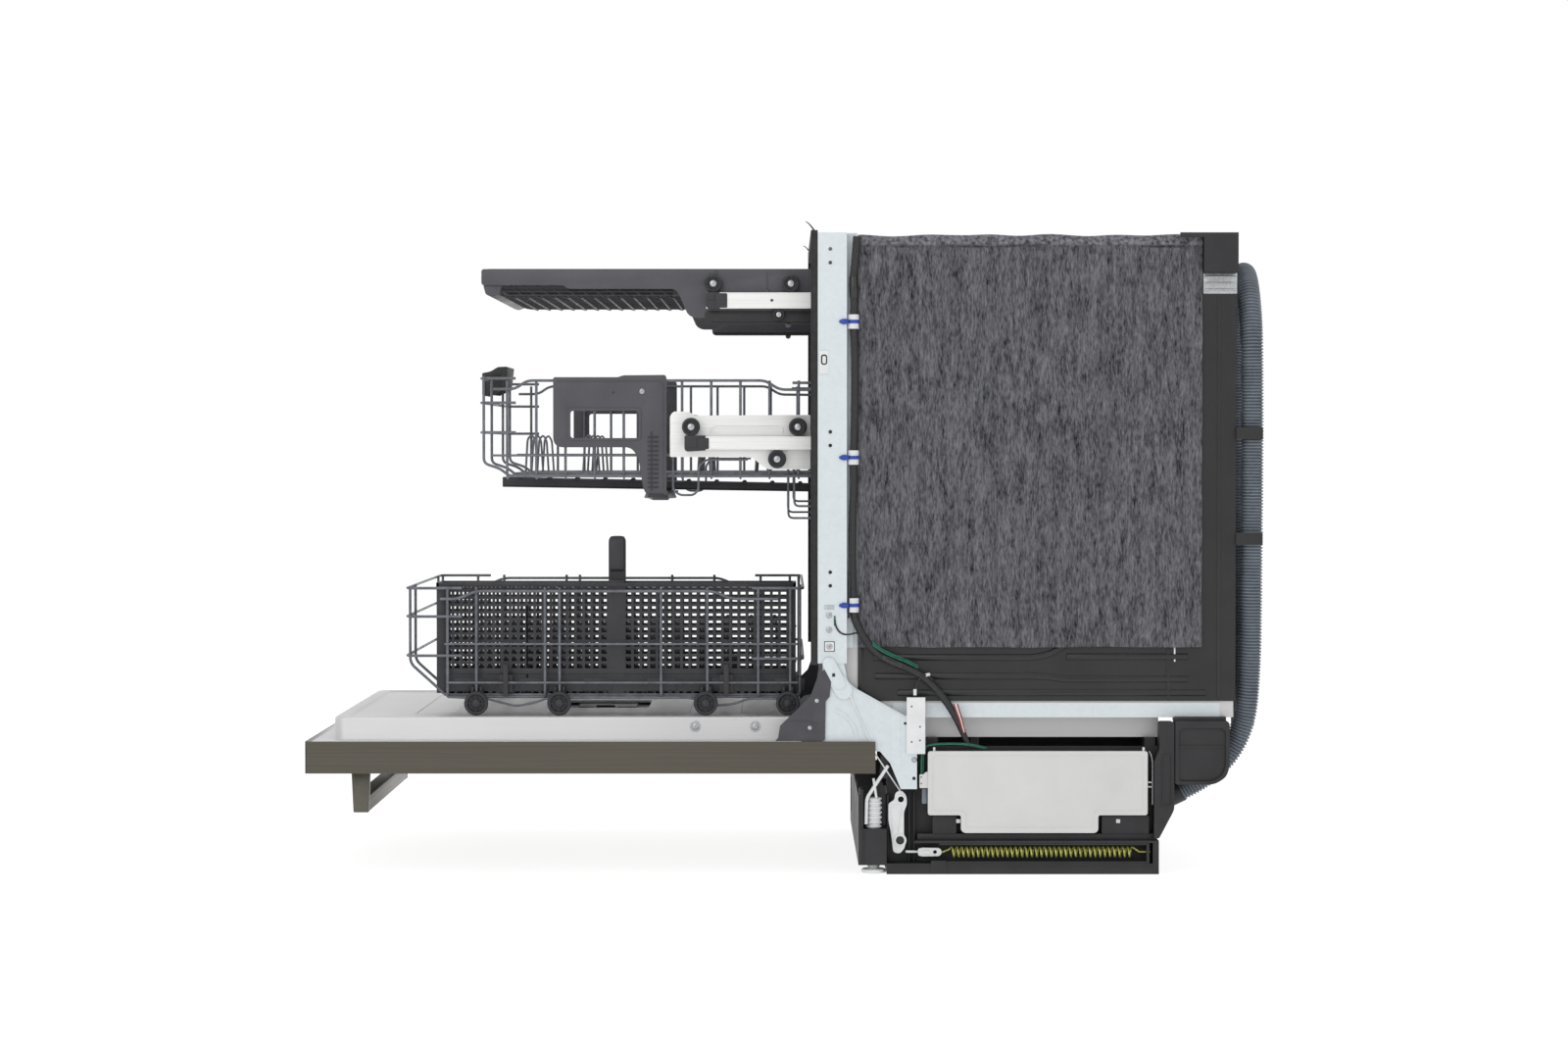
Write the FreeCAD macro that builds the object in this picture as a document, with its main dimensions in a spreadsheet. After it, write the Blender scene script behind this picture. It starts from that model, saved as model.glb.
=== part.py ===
import FreeCAD, Part
import math
import os
import re
import Sketcher

# Built-in dishwasher, millimetres, +Z up. The door faces -Y, the right side is +X.
# The origin is on the floor at the middle of the width and of the full depth, door open.

SIZES = [
    ("overall_width", 603.0),
    ("overall_height", 854.0),
    ("clearance", 0.3),
    ("sheet_steel", 1.2),
    # door, measured from its pivot
    ("pivot_y", 34.0),
    ("pivot_z", 182.0),
    ("door_reach", 669.0),
    ("door_tail", 86.0),
    ("skin_drop", 48.0),
    ("skin_rim_drop", 5.5),
    ("skin_wall", 1.2),
    ("tail_flange_inset", 21.0),
    ("liner_rise", 26.0),
    ("liner_side_inset", 29.5),
    ("liner_end_inset", 26.0),
    ("liner_tail_gap", 12.0),
    ("liner_wall", 0.8),
    ("liner_recess", 12.0),
    ("liner_track", 37.0),
    ("liner_recess_front", 60.0),
    ("liner_recess_rear", 90.0),
    ("handle_bar", 24.5),
    ("handle_standoff", 53.0),
    ("handle_end_inset", 55.5),
    ("handle_side_inset", 45.0),
    ("control_strip_depth", 6.0),
    ("arm_thickness", 2.8),
    ("pin_radius", 4.0),
    ("pin_fit", 0.05),
    ("dispenser_y", -250.0),
    ("dispenser_length", 120.0),
    ("dispenser_width", 150.0),
    ("dispenser_depth", 22.0),
    ("lid_thickness", 2.6),
    ("rinse_cap_radius", 17.0),
    ("latch_width", 60.0),
    # tub and its surroundings
    ("tub_side_gap", 23.5),
    ("tub_wall", 0.8),
    ("tub_mouth_y", 50.0),
    ("tub_rear_y", 597.0),
    ("tub_top_drop", 12.5),
    ("well_inset", 28.0),
    ("well_front_y", 186.0),
    ("well_rear_y", 500.0),
    ("well_depth", 30.0),
    ("mat_thickness", 2.5),
    ("mat_bottom_gap", 1.0),
    ("felt_thickness", 6.0),
    ("felt_front_y", 97.0),
    ("felt_rear_y", 554.0),
    ("felt_bottom_z", 301.0),
    ("upright_inset", 4.3),
    ("upright_front_y", 43.5),
    ("upright_web_rear_y", 82.0),
    ("upright_rear_y", 96.0),
    ("upright_bottom_z", 280.0),
    ("upright_flange", 16.0),
    ("side_hole_radius", 2.5),
    ("side_hole_spacing", 18.0),
    ("side_hole_z", 829.0),
    ("side_hole_y", 60.0),
    ("seal_depth", 9.2),
    ("seal_width", 16.0),
    ("corner_box_depth", 51.0),
    ("corner_box_height", 52.0),
    ("corner_box_width", 46.0),
    ("strap_height", 28.5),
    ("lower_rail_height", 20.0),
    ("bracket_thickness", 1.4),
    ("feed_tube_depth", 17.0),
    ("feed_tube_width", 38.0),
    # base
    ("base_side_inset", 3.5),
    ("base_inner_inset", 32.5),
    ("base_plate", 3.0),
    ("base_front_y", 97.5),
    ("base_floor_front_y", 135.0),
    ("base_rear_y", 496.5),
    ("base_step_y", 516.5),
    ("base_step_z", 80.0),
    ("base_top_z", 168.0),
    ("base_front_z", 104.0),
    ("beam_height", 14.0),
    ("spring_slot_height", 27.5),
    ("column_height", 60.0),
    ("foot_y", 118.0),
    ("foot_side_inset", 21.5),
    ("foot_radius", 16.5),
    ("foot_height", 6.0),
    ("stem_radius", 8.5),
    ("stem_top_z", 101.0),
    ("rear_foot_y", 462.0),
    ("lever_pivot_y", 153.0),
    ("lever_pivot_z", 44.0),
    ("lever_pin_radius", 5.0),
    ("lever_thickness", 4.0),
    ("lever_side_inset", 13.5),
    ("spring_z", 28.6),
    ("spring_radius", 9.0),
    ("spring_wire", 2.2),
    ("spring_front_y", 222.0),
    ("spring_rear_y", 462.0),
    ("rod_radius", 1.8),
    ("sump_centre_y", 330.0),
    ("sump_wall", 3.0),
    ("sump_bottom_z", 60.0),
    ("hub_radius", 16.0),
    ("filter_x", 95.0),
    ("filter_y", 420.0),
    ("filter_radius", 42.0),
    ("control_front_y", 189.5),
    ("control_rear_y", 481.6),
    ("control_bottom_z", 78.0),
    ("control_top_z", 163.5),
    ("control_tongue_z", 54.5),
    ("housing_front_y", 518.0),
    ("housing_rear_y", 590.0),
    ("housing_bottom_z", 118.0),
    ("housing_top_z", 204.0),
    ("inlet_radius", 13.2),
    ("inlet_z", 56.0),
    ("hose_radius", 15.0),
    ("hose_bore_radius", 10.5),
    ("harness_radius", 5.8),
    ("harness_stand_out", 12.5),
    # racks
    ("rack_wire", 3.6),
    ("lower_front_y", -497.0),
    ("lower_rear_y", 23.0),
    ("lower_side_gap", 24.0),
    ("lower_floor_z", 233.0),
    ("lower_rim_z", 374.0),
    ("wheel_radius", 16.0),
    ("wheel_width", 9.5),
    ("wheel_axle_radius", 3.0),
    ("basket_front_y", -468.0),
    ("basket_rear_y", 19.0),
    ("basket_width", 70.0),
    ("basket_side_gap", 6.0),
    ("basket_height", 148.0),
    ("basket_wall", 2.4),
    ("basket_handle_rise", 62.0),
    ("middle_front_y", -402.0),
    ("middle_rear_y", 45.0),
    ("middle_side_gap", 42.0),
    ("middle_floor_z", 528.0),
    ("middle_rim_z", 656.0),
    ("middle_roller_z", 593.8),
    ("middle_under_roller_z", 550.7),
    ("middle_roller_radius", 12.3),
    ("adjuster_thickness", 6.0),
    ("rail_width", 9.0),
    ("guide_gap", 1.2),
    ("middle_rail_front_y", -133.0),
    ("middle_rail_length", 500.0),
    ("third_front_y", -406.0),
    ("third_rear_y", 40.0),
    ("third_side_gap", 29.0),
    ("third_top_z", 805.0),
    ("third_roller_z", 785.0),
    ("third_under_roller_z", 743.5),
    ("third_roller_radius", 11.7),
    ("third_under_radius", 7.8),
    ("third_rail_front_y", -105.0),
    ("third_rail_length", 495.0),
    ("spray_reach", 232.0),
    ("spray_width", 38.0),
    ("spray_height", 12.0),
]

# Side positions of the wheels and rollers along the depth.
LOWER_WHEELS = {"a": -413.0, "b": -302.0, "c": -106.0, "d": 4.0}
MIDDLE_ROLLERS = {"a": -125.5, "b": 17.3}
MIDDLE_UNDER_ROLLER = -10.5
THIRD_ROLLERS = {"a": -95.8, "b": 7.9}
THIRD_UNDER_ROLLER = -8.4

doc = FreeCAD.newDocument("dishwasher")
sheet = doc.addObject("Spreadsheet::Sheet", "Sizes")
for row, (word, number) in enumerate(SIZES, start=1):
    sheet.set(f"A{row}", word)
    sheet.set(f"B{row}", str(number))
    sheet.setAlias(f"B{row}", word)
doc.recompute()

WORDS = sorted((word for word, _ in SIZES), key=len, reverse=True)
WORD_PATTERN = re.compile(r"\b(" + "|".join(WORDS) + r")\b")
# Positions used by many pieces, written once in terms of the sheet.
SHORT = {
    "half": "(overall_width / 2)",
    "tub_half": "(overall_width / 2 - tub_side_gap)",
    "tub_floor": "(pivot_z + liner_rise)",
    "tub_roof": "(overall_height - tub_top_drop)",
    "mat_bottom": "(pivot_z + liner_rise + lower_rail_height + mat_bottom_gap)",
    "mat_half": "(overall_width / 2 - tub_side_gap + mat_thickness)",
    "upright_half": "(overall_width / 2 - upright_inset)",
    "base_half": "(overall_width / 2 - base_side_inset)",
    "base_inner": "(overall_width / 2 - base_inner_inset)",
    "skin_low": "(pivot_z - skin_drop)",
    "skin_high": "(pivot_z - skin_rim_drop)",
    "door_end": "(pivot_y - door_reach)",
    "door_foot": "(pivot_y + door_tail)",
    "liner_half": "(overall_width / 2 - liner_side_inset)",
    "liner_top": "(pivot_z + liner_rise)",
    "liner_front": "(pivot_y - door_reach + liner_end_inset)",
    "liner_rear": "(pivot_y - liner_tail_gap)",
    "well_half": "(overall_width / 2 - tub_side_gap - well_inset)",
    "well_floor": "(pivot_z + liner_rise + tub_wall - well_depth)",
    "slot_top": "(beam_height + spring_slot_height)",
    "bracket_outer": "(overall_width / 2 - upright_inset - sheet_steel)",
    "lever_inner": "(overall_width / 2 - lever_side_inset - lever_thickness)",
    "lower_half_width": "(overall_width / 2 - liner_side_inset - lower_side_gap)",
    "middle_half_width": "(overall_width / 2 - tub_side_gap - middle_side_gap)",
    "third_half_width": "(overall_width / 2 - tub_side_gap - third_side_gap)",
    "inlet_x": "(34 - overall_width / 2 + base_inner_inset)",
    "wheel_inner": "(lower_half_width + rack_wire)",
    "roller_inner": "(middle_half_width + 16.5)",
}


def bound(text):
    """The expression for the sheet from words and plain arithmetic."""
    text = str(text)
    for _ in range(3):
        for word, meaning in SHORT.items():
            text = re.sub(rf"\b{word}\b", meaning, text)
    return WORD_PATTERN.sub(r"Sizes.\1", text)


VALUES = {word: sheet.get(word) for word, _ in SIZES}


def value(text):
    """The number that an expression gives."""
    plain = bound(text).replace("Sizes.", "")
    tokens = re.findall(r"[a-z_]+|[\d.]+|[-+*/()]", plain)
    return arithmetic(tokens)


def arithmetic(tokens):
    total = product(tokens)
    while tokens and tokens[0] in "+-":
        sign = tokens.pop(0)
        term = product(tokens)
        total = total + term if sign == "+" else total - term
    return total


def product(tokens):
    total = factor(tokens)
    while tokens and tokens[0] in "*/":
        sign = tokens.pop(0)
        term = factor(tokens)
        total = total * term if sign == "*" else total / term
    return total


def factor(tokens):
    token = tokens.pop(0)
    if token == "-":
        return -factor(tokens)
    if token == "(":
        inside = arithmetic(tokens)
        tokens.pop(0)
        return inside
    if token in VALUES:
        return VALUES[token]
    return float(token)


counter = {}
finished = []


def fresh(stem):
    counter[stem] = counter.get(stem, 0) + 1
    return f"{stem}_{counter[stem]}"


def box(x, y, z):
    """A box between two expressions on each axis."""
    made = doc.addObject("Part::Box", fresh("Box"))
    for side, (low, high) in zip(("Length", "Width", "Height"), (x, y, z)):
        made.setExpression(side, bound(f"({high}) - ({low})"))
    for axis, (low, _) in zip("xyz", (x, y, z)):
        made.setExpression(f".Placement.Base.{axis}", bound(low))
    return made


TURNS = {
    "x": FreeCAD.Rotation(FreeCAD.Vector(0, 1, 0), 90),
    "y": FreeCAD.Rotation(FreeCAD.Vector(1, 0, 0), -90),
    "z": FreeCAD.Rotation(),
}


def rod(axis, start, end, centre, radius):
    """A cylinder along an axis; centre gives the other two coordinates in order."""
    made = doc.addObject("Part::Cylinder", fresh("Rod"))
    made.Placement = FreeCAD.Placement(FreeCAD.Vector(), TURNS[axis])
    made.setExpression("Radius", bound(radius))
    made.setExpression("Height", bound(f"({end}) - ({start})"))
    others = [a for a in "xyz" if a != axis]
    made.setExpression(f".Placement.Base.{axis}", bound(start))
    for other, place in zip(others, centre):
        made.setExpression(f".Placement.Base.{other}", bound(place))
    return made


def fuse(pieces):
    made = doc.addObject("Part::MultiFuse", fresh("Fuse"))
    made.Shapes = pieces
    made.Refine = True
    return made


def cut(base, tools):
    made = doc.addObject("Part::Cut", fresh("Cut"))
    made.Base = base
    made.Tool = tools[0] if len(tools) == 1 else fuse(tools)
    return made


def mirrored(piece):
    """The same piece on the left side."""
    made = doc.addObject("Part::Mirroring", fresh("Mirror"))
    made.Source = piece
    made.Normal = FreeCAD.Vector(1, 0, 0)
    return made


def finish(label, pieces):
    """Name a sub-part. Several pieces that share a name stay separate solids."""
    if len(pieces) == 1:
        made = pieces[0]
    else:
        made = doc.addObject("Part::Compound", fresh("Group"))
        made.Links = pieces
    made.Label = label
    finished.append(made)
    return made


def both_sides(piece):
    return [piece, mirrored(piece)]


def profile(plane, loops, low, high):
    """A body padded from a sketch whose every corner is tied to the sheet.

    plane YZ sketches (y, z) and pads along x; plane XZ sketches (x, z) and pads along -y.
    """
    body = doc.addObject("PartDesign::Body", fresh("Body"))
    sketch = body.newObject("Sketcher::SketchObject", fresh("Sketch"))
    role = f"{plane}_Plane"
    flat = next(f for f in body.Origin.OriginFeatures if f.Role == role)
    sketch.AttachmentSupport = [(flat, "")]
    sketch.MapMode = "FlatFace"
    for loop in loops:
        corners = [FreeCAD.Vector(value(u), value(v), 0) for u, v in loop]
        first = sketch.GeometryCount
        count = len(corners)
        for i, corner in enumerate(corners):
            sketch.addGeometry(Part.LineSegment(corner, corners[(i + 1) % count]), False)
        for i in range(count):
            after = first + (i + 1) % count
            sketch.addConstraint(
                Sketcher.Constraint("Coincident", first + i, 2, after, 1)
            )
        for i, (u, v) in enumerate(loop):
            for kind, place in (("DistanceX", u), ("DistanceY", v)):
                number = sketch.addConstraint(
                    Sketcher.Constraint(kind, -1, 1, first + i, 1, value(place))
                )
                sketch.setExpression(f"Constraints[{number}]", bound(place))
    sketch.setExpression(".AttachmentOffset.Base.z", bound(low))
    pad = body.newObject("PartDesign::Pad", fresh("Pad"))
    pad.Profile = sketch
    pad.setExpression("Length", bound(f"({high}) - ({low})"))
    sketch.Visibility = False
    return body


def solid(shape):
    """A sub-part whose shape is worked out from the sheet in code."""
    made = doc.addObject("Part::Feature", fresh("Shape"))
    made.Shape = shape
    made.Placement = FreeCAD.Placement()
    return made


def block(x, y, z):
    size = FreeCAD.Vector(x[1] - x[0], y[1] - y[0], z[1] - z[0])
    return Part.makeBox(size.x, size.y, size.z, FreeCAD.Vector(x[0], y[0], z[0]))


def grille(across, along, axis, low, thickness, wire):
    """A flat welded grille: bars on the given lines, with open windows between them.

    across and along are the middle lines of the bars. axis is the direction of the thickness.
    """

    def corner(u, v):
        if axis == "z":
            return FreeCAD.Vector(u, v, low)
        if axis == "x":
            return FreeCAD.Vector(low, u, v)
        return FreeCAD.Vector(u, low, v)

    def loop(u0, u1, v0, v1):
        ring = [corner(u0, v0), corner(u1, v0), corner(u1, v1), corner(u0, v1)]
        return Part.makePolygon([*ring, ring[0]])

    grow = wire / 2
    outer = loop(across[0] - grow, across[-1] + grow, along[0] - grow, along[-1] + grow)
    wires = [outer]
    for u0, u1 in zip(across, across[1:]):
        for v0, v1 in zip(along, along[1:]):
            wires.append(loop(u0 + grow, u1 - grow, v0 + grow, v1 - grow))
    face = Part.Face(wires[0])
    holes = [Part.Face(w) for w in wires[1:]]
    push = {"z": (0, 0, thickness), "x": (thickness, 0, 0), "y": (0, thickness, 0)}[axis]
    return face.cut(Part.makeCompound(holes)).Faces[0].extrude(FreeCAD.Vector(*push))


def spaced(start, end, pitch):
    """Evenly spaced lines from start to end, about a pitch apart."""
    count = max(1, round((end - start) / pitch))
    return [start + (end - start) * i / count for i in range(count + 1)]


def rounded_path(points, name):
    """Straight runs joined by tangent arcs, each arc as large as its shorter run allows."""
    points = [FreeCAD.Vector(*p) for p in points]
    edges = []
    here = points[0]
    radii = []
    for before, corner, after in zip(points, points[1:], points[2:]):
        back = before - corner
        ahead = after - corner
        turn = math.pi - back.getAngle(ahead)
        reach = 0.45 * min(back.Length, ahead.Length)
        radii.append(reach / math.tan(turn / 2))
        start = corner + back.normalize() * reach
        stop = corner + ahead.normalize() * reach
        inward = ((start + stop) * 0.5 - corner).normalize()
        centre = corner + inward * (radii[-1] / math.cos(turn / 2))
        middle = centre - inward * radii[-1]
        if (start - here).Length > 1e-6:
            edges.append(Part.LineSegment(here, start).toShape())
        edges.append(Part.Arc(start, middle, stop).toShape())
        here = stop
    edges.append(Part.LineSegment(here, points[-1]).toShape())
    path = Part.Wire(edges)
    print(f"{name}: length {path.Length:.0f} mm, radii " + ", ".join(f"{r:.0f}" for r in radii))
    return path


def tube(points, radius, name, bore=0.0):
    """A round cord or hose along a route."""
    path = rounded_path(points, name)
    start = FreeCAD.Vector(*points[0])
    ahead = FreeCAD.Vector(*points[1]) - start

    def swept(size):
        ring = Part.Wire([Part.Circle(start, ahead, size).toShape()])
        return path.makePipeShell([ring], True, False)

    outer = swept(radius)
    section = math.pi * radius**2
    if bore:
        outer = outer.cut(swept(bore))
        section -= math.pi * bore**2
    ratio = outer.Volume / (section * path.Length)
    print(f"{name}: volume over section times length {ratio:.4f}")
    return outer


# ---------------------------------------------------------------- base


def make_base():
    floor_hole = rod("z", -1, "base_plate + 1", (0, "rear_foot_y"), "foot_radius + 3")
    floor = box(
        ("-base_inner", "base_inner"),
        ("base_floor_front_y", "base_rear_y"),
        (0, "base_plate"),
    )
    front = box(
        ("-base_half", "base_half"),
        ("base_front_y", "base_front_y + base_plate"),
        (12, "base_front_z"),
    )
    rear_low = box(
        ("-base_inner", "base_inner"),
        ("base_rear_y - base_plate", "base_rear_y"),
        (0, "base_step_z + base_plate"),
    )
    step = box(
        ("-base_inner", "base_inner"),
        ("base_rear_y - base_plate", "base_step_y"),
        ("base_step_z", "base_step_z + base_plate"),
    )
    rear_high = box(
        ("-base_inner", "base_inner"),
        ("base_step_y - base_plate", "base_step_y"),
        ("base_step_z", "base_top_z"),
    )
    ties = [
        box(
            ("-base_inner", "base_inner"),
            (place, f"{place} + 14"),
            ("base_top_z - 12", "well_floor"),
        )
        for place in ("well_front_y + 4", "well_rear_y - 20")
    ]
    halves = []
    for sign in ("", "-"):
        if sign == "":
            low, high = "base_inner", "base_half"
            wall = ("base_inner - base_plate", "base_inner")
        else:
            low, high = "-base_half", "-base_inner"
            wall = ("-base_inner", "-base_inner + base_plate")
        halves += [
            box((low, high), ("base_floor_front_y", "base_rear_y"), (0, "beam_height")),
            box(wall, ("base_front_y", "base_floor_front_y + 1"), (12, "base_front_z")),
            box(wall, ("base_floor_front_y + 1", "base_rear_y"), (0, "base_top_z")),
            box(wall, ("base_rear_y - base_plate", "base_step_y"), ("base_step_z", "base_top_z")),
            box((low, high), (172, "base_rear_y"), ("slot_top", "slot_top + base_plate")),
            box((low, high), ("base_rear_y - 8", "base_rear_y"), (0, "slot_top + base_plate")),
            box((low, high), ("base_front_y", "base_floor_front_y"), (12, "column_height")),
        ]
    # A window in the front panel leaves room to screw the supply hose on.
    window = box(("inlet_x - 27", "inlet_x + 27"),
                 ("base_front_y - 1", "base_front_y + base_plate + 1"),
                 ("inlet_z - 26", "inlet_z + 26"))
    body = fuse([floor, cut(front, [window]), rear_low, step, rear_high, *ties, *halves])
    stems = [
        rod("z", 6, "column_height + 9", (f"{s}(half - foot_side_inset)", "foot_y"),
            "stem_radius + clearance")
        for s in ("", "-")
    ]
    shell = cut(body, [floor_hole, *stems])
    bosses = [
        rod("x", "base_inner - 1", "lever_inner + lever_thickness + 3",
            ("lever_pivot_y", "lever_pivot_z"), "lever_pin_radius"),
        box(("base_inner - 1", "bracket_outer - bracket_thickness"), (156, 174), (116, 150)),
    ]
    finish("base_frame", [fuse([shell, *bosses, *[mirrored(b) for b in bosses]])])


def make_feet():
    feet = []
    for sign in ("", "-"):
        place = (f"{sign}(half - foot_side_inset)", "foot_y")
        feet.append(
            fuse([
                rod("z", 0, "foot_height", place, "foot_radius"),
                rod("z", "foot_height - 1", "stem_top_z", place, "stem_radius"),
            ])
        )
    place = (0, "rear_foot_y")
    feet.append(
        fuse([
            rod("z", 0, "foot_height - 3.3", place, "foot_radius"),
            rod("z", "foot_height - 4", "foot_height + 30", place, "stem_radius"),
        ])
    )
    finish("levelling_feet", feet)


# ---------------------------------------------------------------- tub


def make_tub():
    outer = box(("-tub_half", "tub_half"), ("tub_mouth_y", "tub_rear_y"),
                ("tub_floor - tub_wall", "tub_roof"))
    inner = box(("-tub_half + tub_wall", "tub_half - tub_wall"),
                ("tub_mouth_y - 5", "tub_rear_y - tub_wall"),
                ("tub_floor", "tub_roof - tub_wall"))
    well = box(("-well_half", "well_half"), ("well_front_y", "well_rear_y"),
               ("well_floor", "tub_floor - tub_wall"))
    shell = fuse([outer, well])
    hollow = box(("-well_half + tub_wall", "well_half - tub_wall"),
                 ("well_front_y + tub_wall", "well_rear_y - tub_wall"),
                 ("well_floor + tub_wall", "tub_floor + 1"))
    holes = [
        rod("z", "well_floor - 2", "well_floor + 5", (0, "sump_centre_y"), "hub_radius + clearance"),
        rod("z", "well_floor - 2", "well_floor + 5", ("filter_x", "filter_y"), "filter_radius + 2"),
    ]
    finish("tub", [cut(shell, [inner, hollow, *holes])])


def make_sound_mat():
    outer = box(("-mat_half", "mat_half"), ("upright_rear_y + 1", "tub_rear_y + mat_thickness"),
                ("mat_bottom", "tub_roof + mat_thickness"))
    inner = box(("-tub_half", "tub_half"), ("upright_rear_y - 5", "tub_rear_y"),
                ("mat_bottom - 5", "tub_roof"))
    finish("sound_mat", [cut(outer, [inner])])


def make_felt():
    gap = "mat_half + clearance"
    roof = "tub_roof + mat_thickness + clearance"
    outer = box((f"-({gap}) - felt_thickness", f"{gap} + felt_thickness"),
                ("felt_front_y", "felt_rear_y"), ("felt_bottom_z", f"{roof} + felt_thickness"))
    inner = box((f"-({gap})", gap), ("felt_front_y - 5", "felt_rear_y + 5"),
                ("felt_bottom_z - 5", roof))
    finish("felt_blanket", [cut(outer, [inner])])


def make_tub_frame():
    """Galvanised uprights and top channel round the mouth, lower rails and rear strap."""
    web = box(("upright_half - sheet_steel", "upright_half"),
              ("upright_front_y", "upright_web_rear_y"),
              ("upright_bottom_z", "overall_height - 3"))
    flange = box(("tub_half + 1", "upright_half"),
                 ("upright_front_y", "upright_front_y + sheet_steel"),
                 ("upright_bottom_z", "overall_height - 3"))
    back = box(("tub_half", "upright_half"),
               ("upright_web_rear_y - sheet_steel", "upright_web_rear_y"),
               ("upright_bottom_z + 20", "overall_height - 3"))
    lip = box(("tub_half", "tub_half + sheet_steel"),
              ("upright_web_rear_y - sheet_steel", "upright_rear_y"),
              ("upright_bottom_z + 20", "overall_height - 3"))
    holes = []
    for base in ("side_hole_z", "side_hole_z - 242", "side_hole_z - 428"):
        for step in ("", " - side_hole_spacing"):
            holes.append(rod("x", "upright_half - 5", "upright_half + 5",
                             ("side_hole_y", base + step), "side_hole_radius"))
    upright = cut(fuse([web, flange, back, lip]), holes)
    top = box(("-tub_half + 0.5", "tub_half - 0.5"), ("upright_front_y", "upright_rear_y"),
              ("overall_height - 4.2", "overall_height - 3"))
    top_lip = box(("-tub_half + 0.5", "tub_half - 0.5"),
                  ("upright_rear_y - sheet_steel", "upright_rear_y"),
                  ("tub_roof", "overall_height - 3"))
    lower = box(("tub_half", "tub_half + 2"), (144, 579), ("tub_floor - tub_wall",
                "tub_floor - tub_wall + lower_rail_height - 0.5"))
    strap = box(("-tub_half + 20", "tub_half - 20"),
                ("tub_rear_y + mat_thickness", "tub_rear_y + mat_thickness + sheet_steel"),
                ("overall_height - 84", "overall_height - 84 + strap_height"))
    finish("tub_frame", [*both_sides(upright), fuse([top, top_lip]), *both_sides(lower), strap])


def make_gasket():
    top = "overall_height"
    y = ("upright_front_y - seal_depth", "upright_front_y - 0.1")
    side = box(("upright_half - seal_width", "upright_half"), y, ("upright_bottom_z - 2", top))
    other = box(("-upright_half", "-upright_half + seal_width"), y, ("upright_bottom_z - 2", top))
    head = box(("-upright_half + seal_width", "upright_half - seal_width"), y,
               (f"{top} - seal_width", top))
    finish("door_gasket", [side, other, head])


def make_rear_corners():
    block_piece = box(("tub_half - corner_box_width", "upright_half"),
                      ("felt_rear_y + 1", "tub_rear_y + mat_thickness + 1"),
                      ("tub_roof + mat_thickness", "overall_height - 3"))
    skirt = box(("mat_half", "upright_half"),
                ("felt_rear_y + 1", "tub_rear_y + mat_thickness + 1"),
                ("overall_height - 3 - corner_box_height", "overall_height - 3"))
    arm = box(("mat_half + clearance + felt_thickness + 0.6", "upright_half"),
              ("felt_rear_y - 30", "felt_rear_y + 2"),
              ("overall_height - 9", "overall_height - 3"))
    finish("rear_corner_brackets", both_sides(fuse([block_piece, skirt, arm])))


def make_hinge_brackets():
    outline = [
        (50, 236), (50, 285), (57, 292), (76, 292), (83, 257), (92, 248), (159.7, 210.3),
        (175.2, 210.3), (175.2, 113), (153.8, 113), (139.7, 147), (126, 163), (46, 168),
        (22, 170), (20, 190), (30, 198), (44, 200),
    ]
    loop = [(f"pivot_y + {y - 34:.1f}".replace("+ -", "- "),
             f"pivot_z + {z - 182:.1f}".replace("+ -", "- ")) for y, z in outline]
    plate = profile("YZ", [loop], "bracket_outer - bracket_thickness", "bracket_outer")
    hole = rod("x", "bracket_outer - 8", "bracket_outer + 5", ("pivot_y", "pivot_z"),
               "pin_radius + pin_fit")
    finish("hinge_brackets", both_sides(cut(plate, [hole])))


def make_harness_guide():
    guide = box(("bracket_outer", "bracket_outer + 4.5"), (161.5, 186), (160, 235))
    finish("harness_guide", [guide])


def make_feed_tube():
    y = ("tub_rear_y - tub_wall - feed_tube_depth", "tub_rear_y - tub_wall")
    rise = box(("-feed_tube_width / 2", "feed_tube_width / 2"), y, ("tub_floor", "tub_roof - 40"))
    nozzle = rod("y", "tub_rear_y - tub_wall - feed_tube_depth - 48",
                 "tub_rear_y - tub_wall - feed_tube_depth + 2", (0, "middle_floor_z - 20"), 17)
    finish("feed_tube", [fuse([rise, nozzle])])


# ---------------------------------------------------------------- works in the base


def make_sump():
    outer = box(("-75", "filter_x + 55"), ("sump_centre_y - 65", "filter_y + 60"),
                ("sump_bottom_z", "well_floor"))
    inner = box(("-75 + sump_wall", "filter_x + 55 - sump_wall"),
                ("sump_centre_y - 65 + sump_wall", "filter_y + 60 - sump_wall"),
                ("sump_bottom_z + sump_wall", "well_floor + 5"))
    hub = rod("z", "sump_bottom_z + 1", "tub_floor + 3", (0, "sump_centre_y"), "hub_radius")
    finish("sump", [fuse([cut(outer, [inner]), hub])])


def make_filter():
    cup = rod("z", "well_floor - 70", "well_floor + 3", ("filter_x", "filter_y"), "filter_radius")
    core = rod("z", "well_floor - 66", "well_floor + 6", ("filter_x", "filter_y"),
               "filter_radius - 4")
    bridge = box(("filter_x - 30", "filter_x + 30"), ("filter_y - 5", "filter_y + 5"),
                 ("well_floor - 67", "well_floor + 12"))
    finish("tub_filter", [fuse([cut(cup, [core]), bridge])])


def make_pumps():
    motor = rod("x", "-base_inner + 8", "-75 - 26", ("filter_y - 40", 105), 40)
    volute = rod("x", "-75 - 26.5", "-75", ("filter_y - 40", 105), 52)
    finish("circulation_pump", [fuse([motor, volute])])
    head = rod("x", "filter_x + 55", "filter_x + 78", ("filter_y", 95), 27)
    drive = rod("x", "filter_x + 77.5", "filter_x + 112", ("filter_y", 95), 20)
    finish("drain_pump", [fuse([head, drive])])


def make_inlet_valve():
    coil = box(("inlet_x - 24", "inlet_x + 24"), (150, 205), ("inlet_z - 26", "inlet_z + 26"))
    thread = rod("y", 128, 151, ("inlet_x", "inlet_z"), "inlet_radius")
    finish("inlet_valve", [fuse([coil, thread])])


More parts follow.
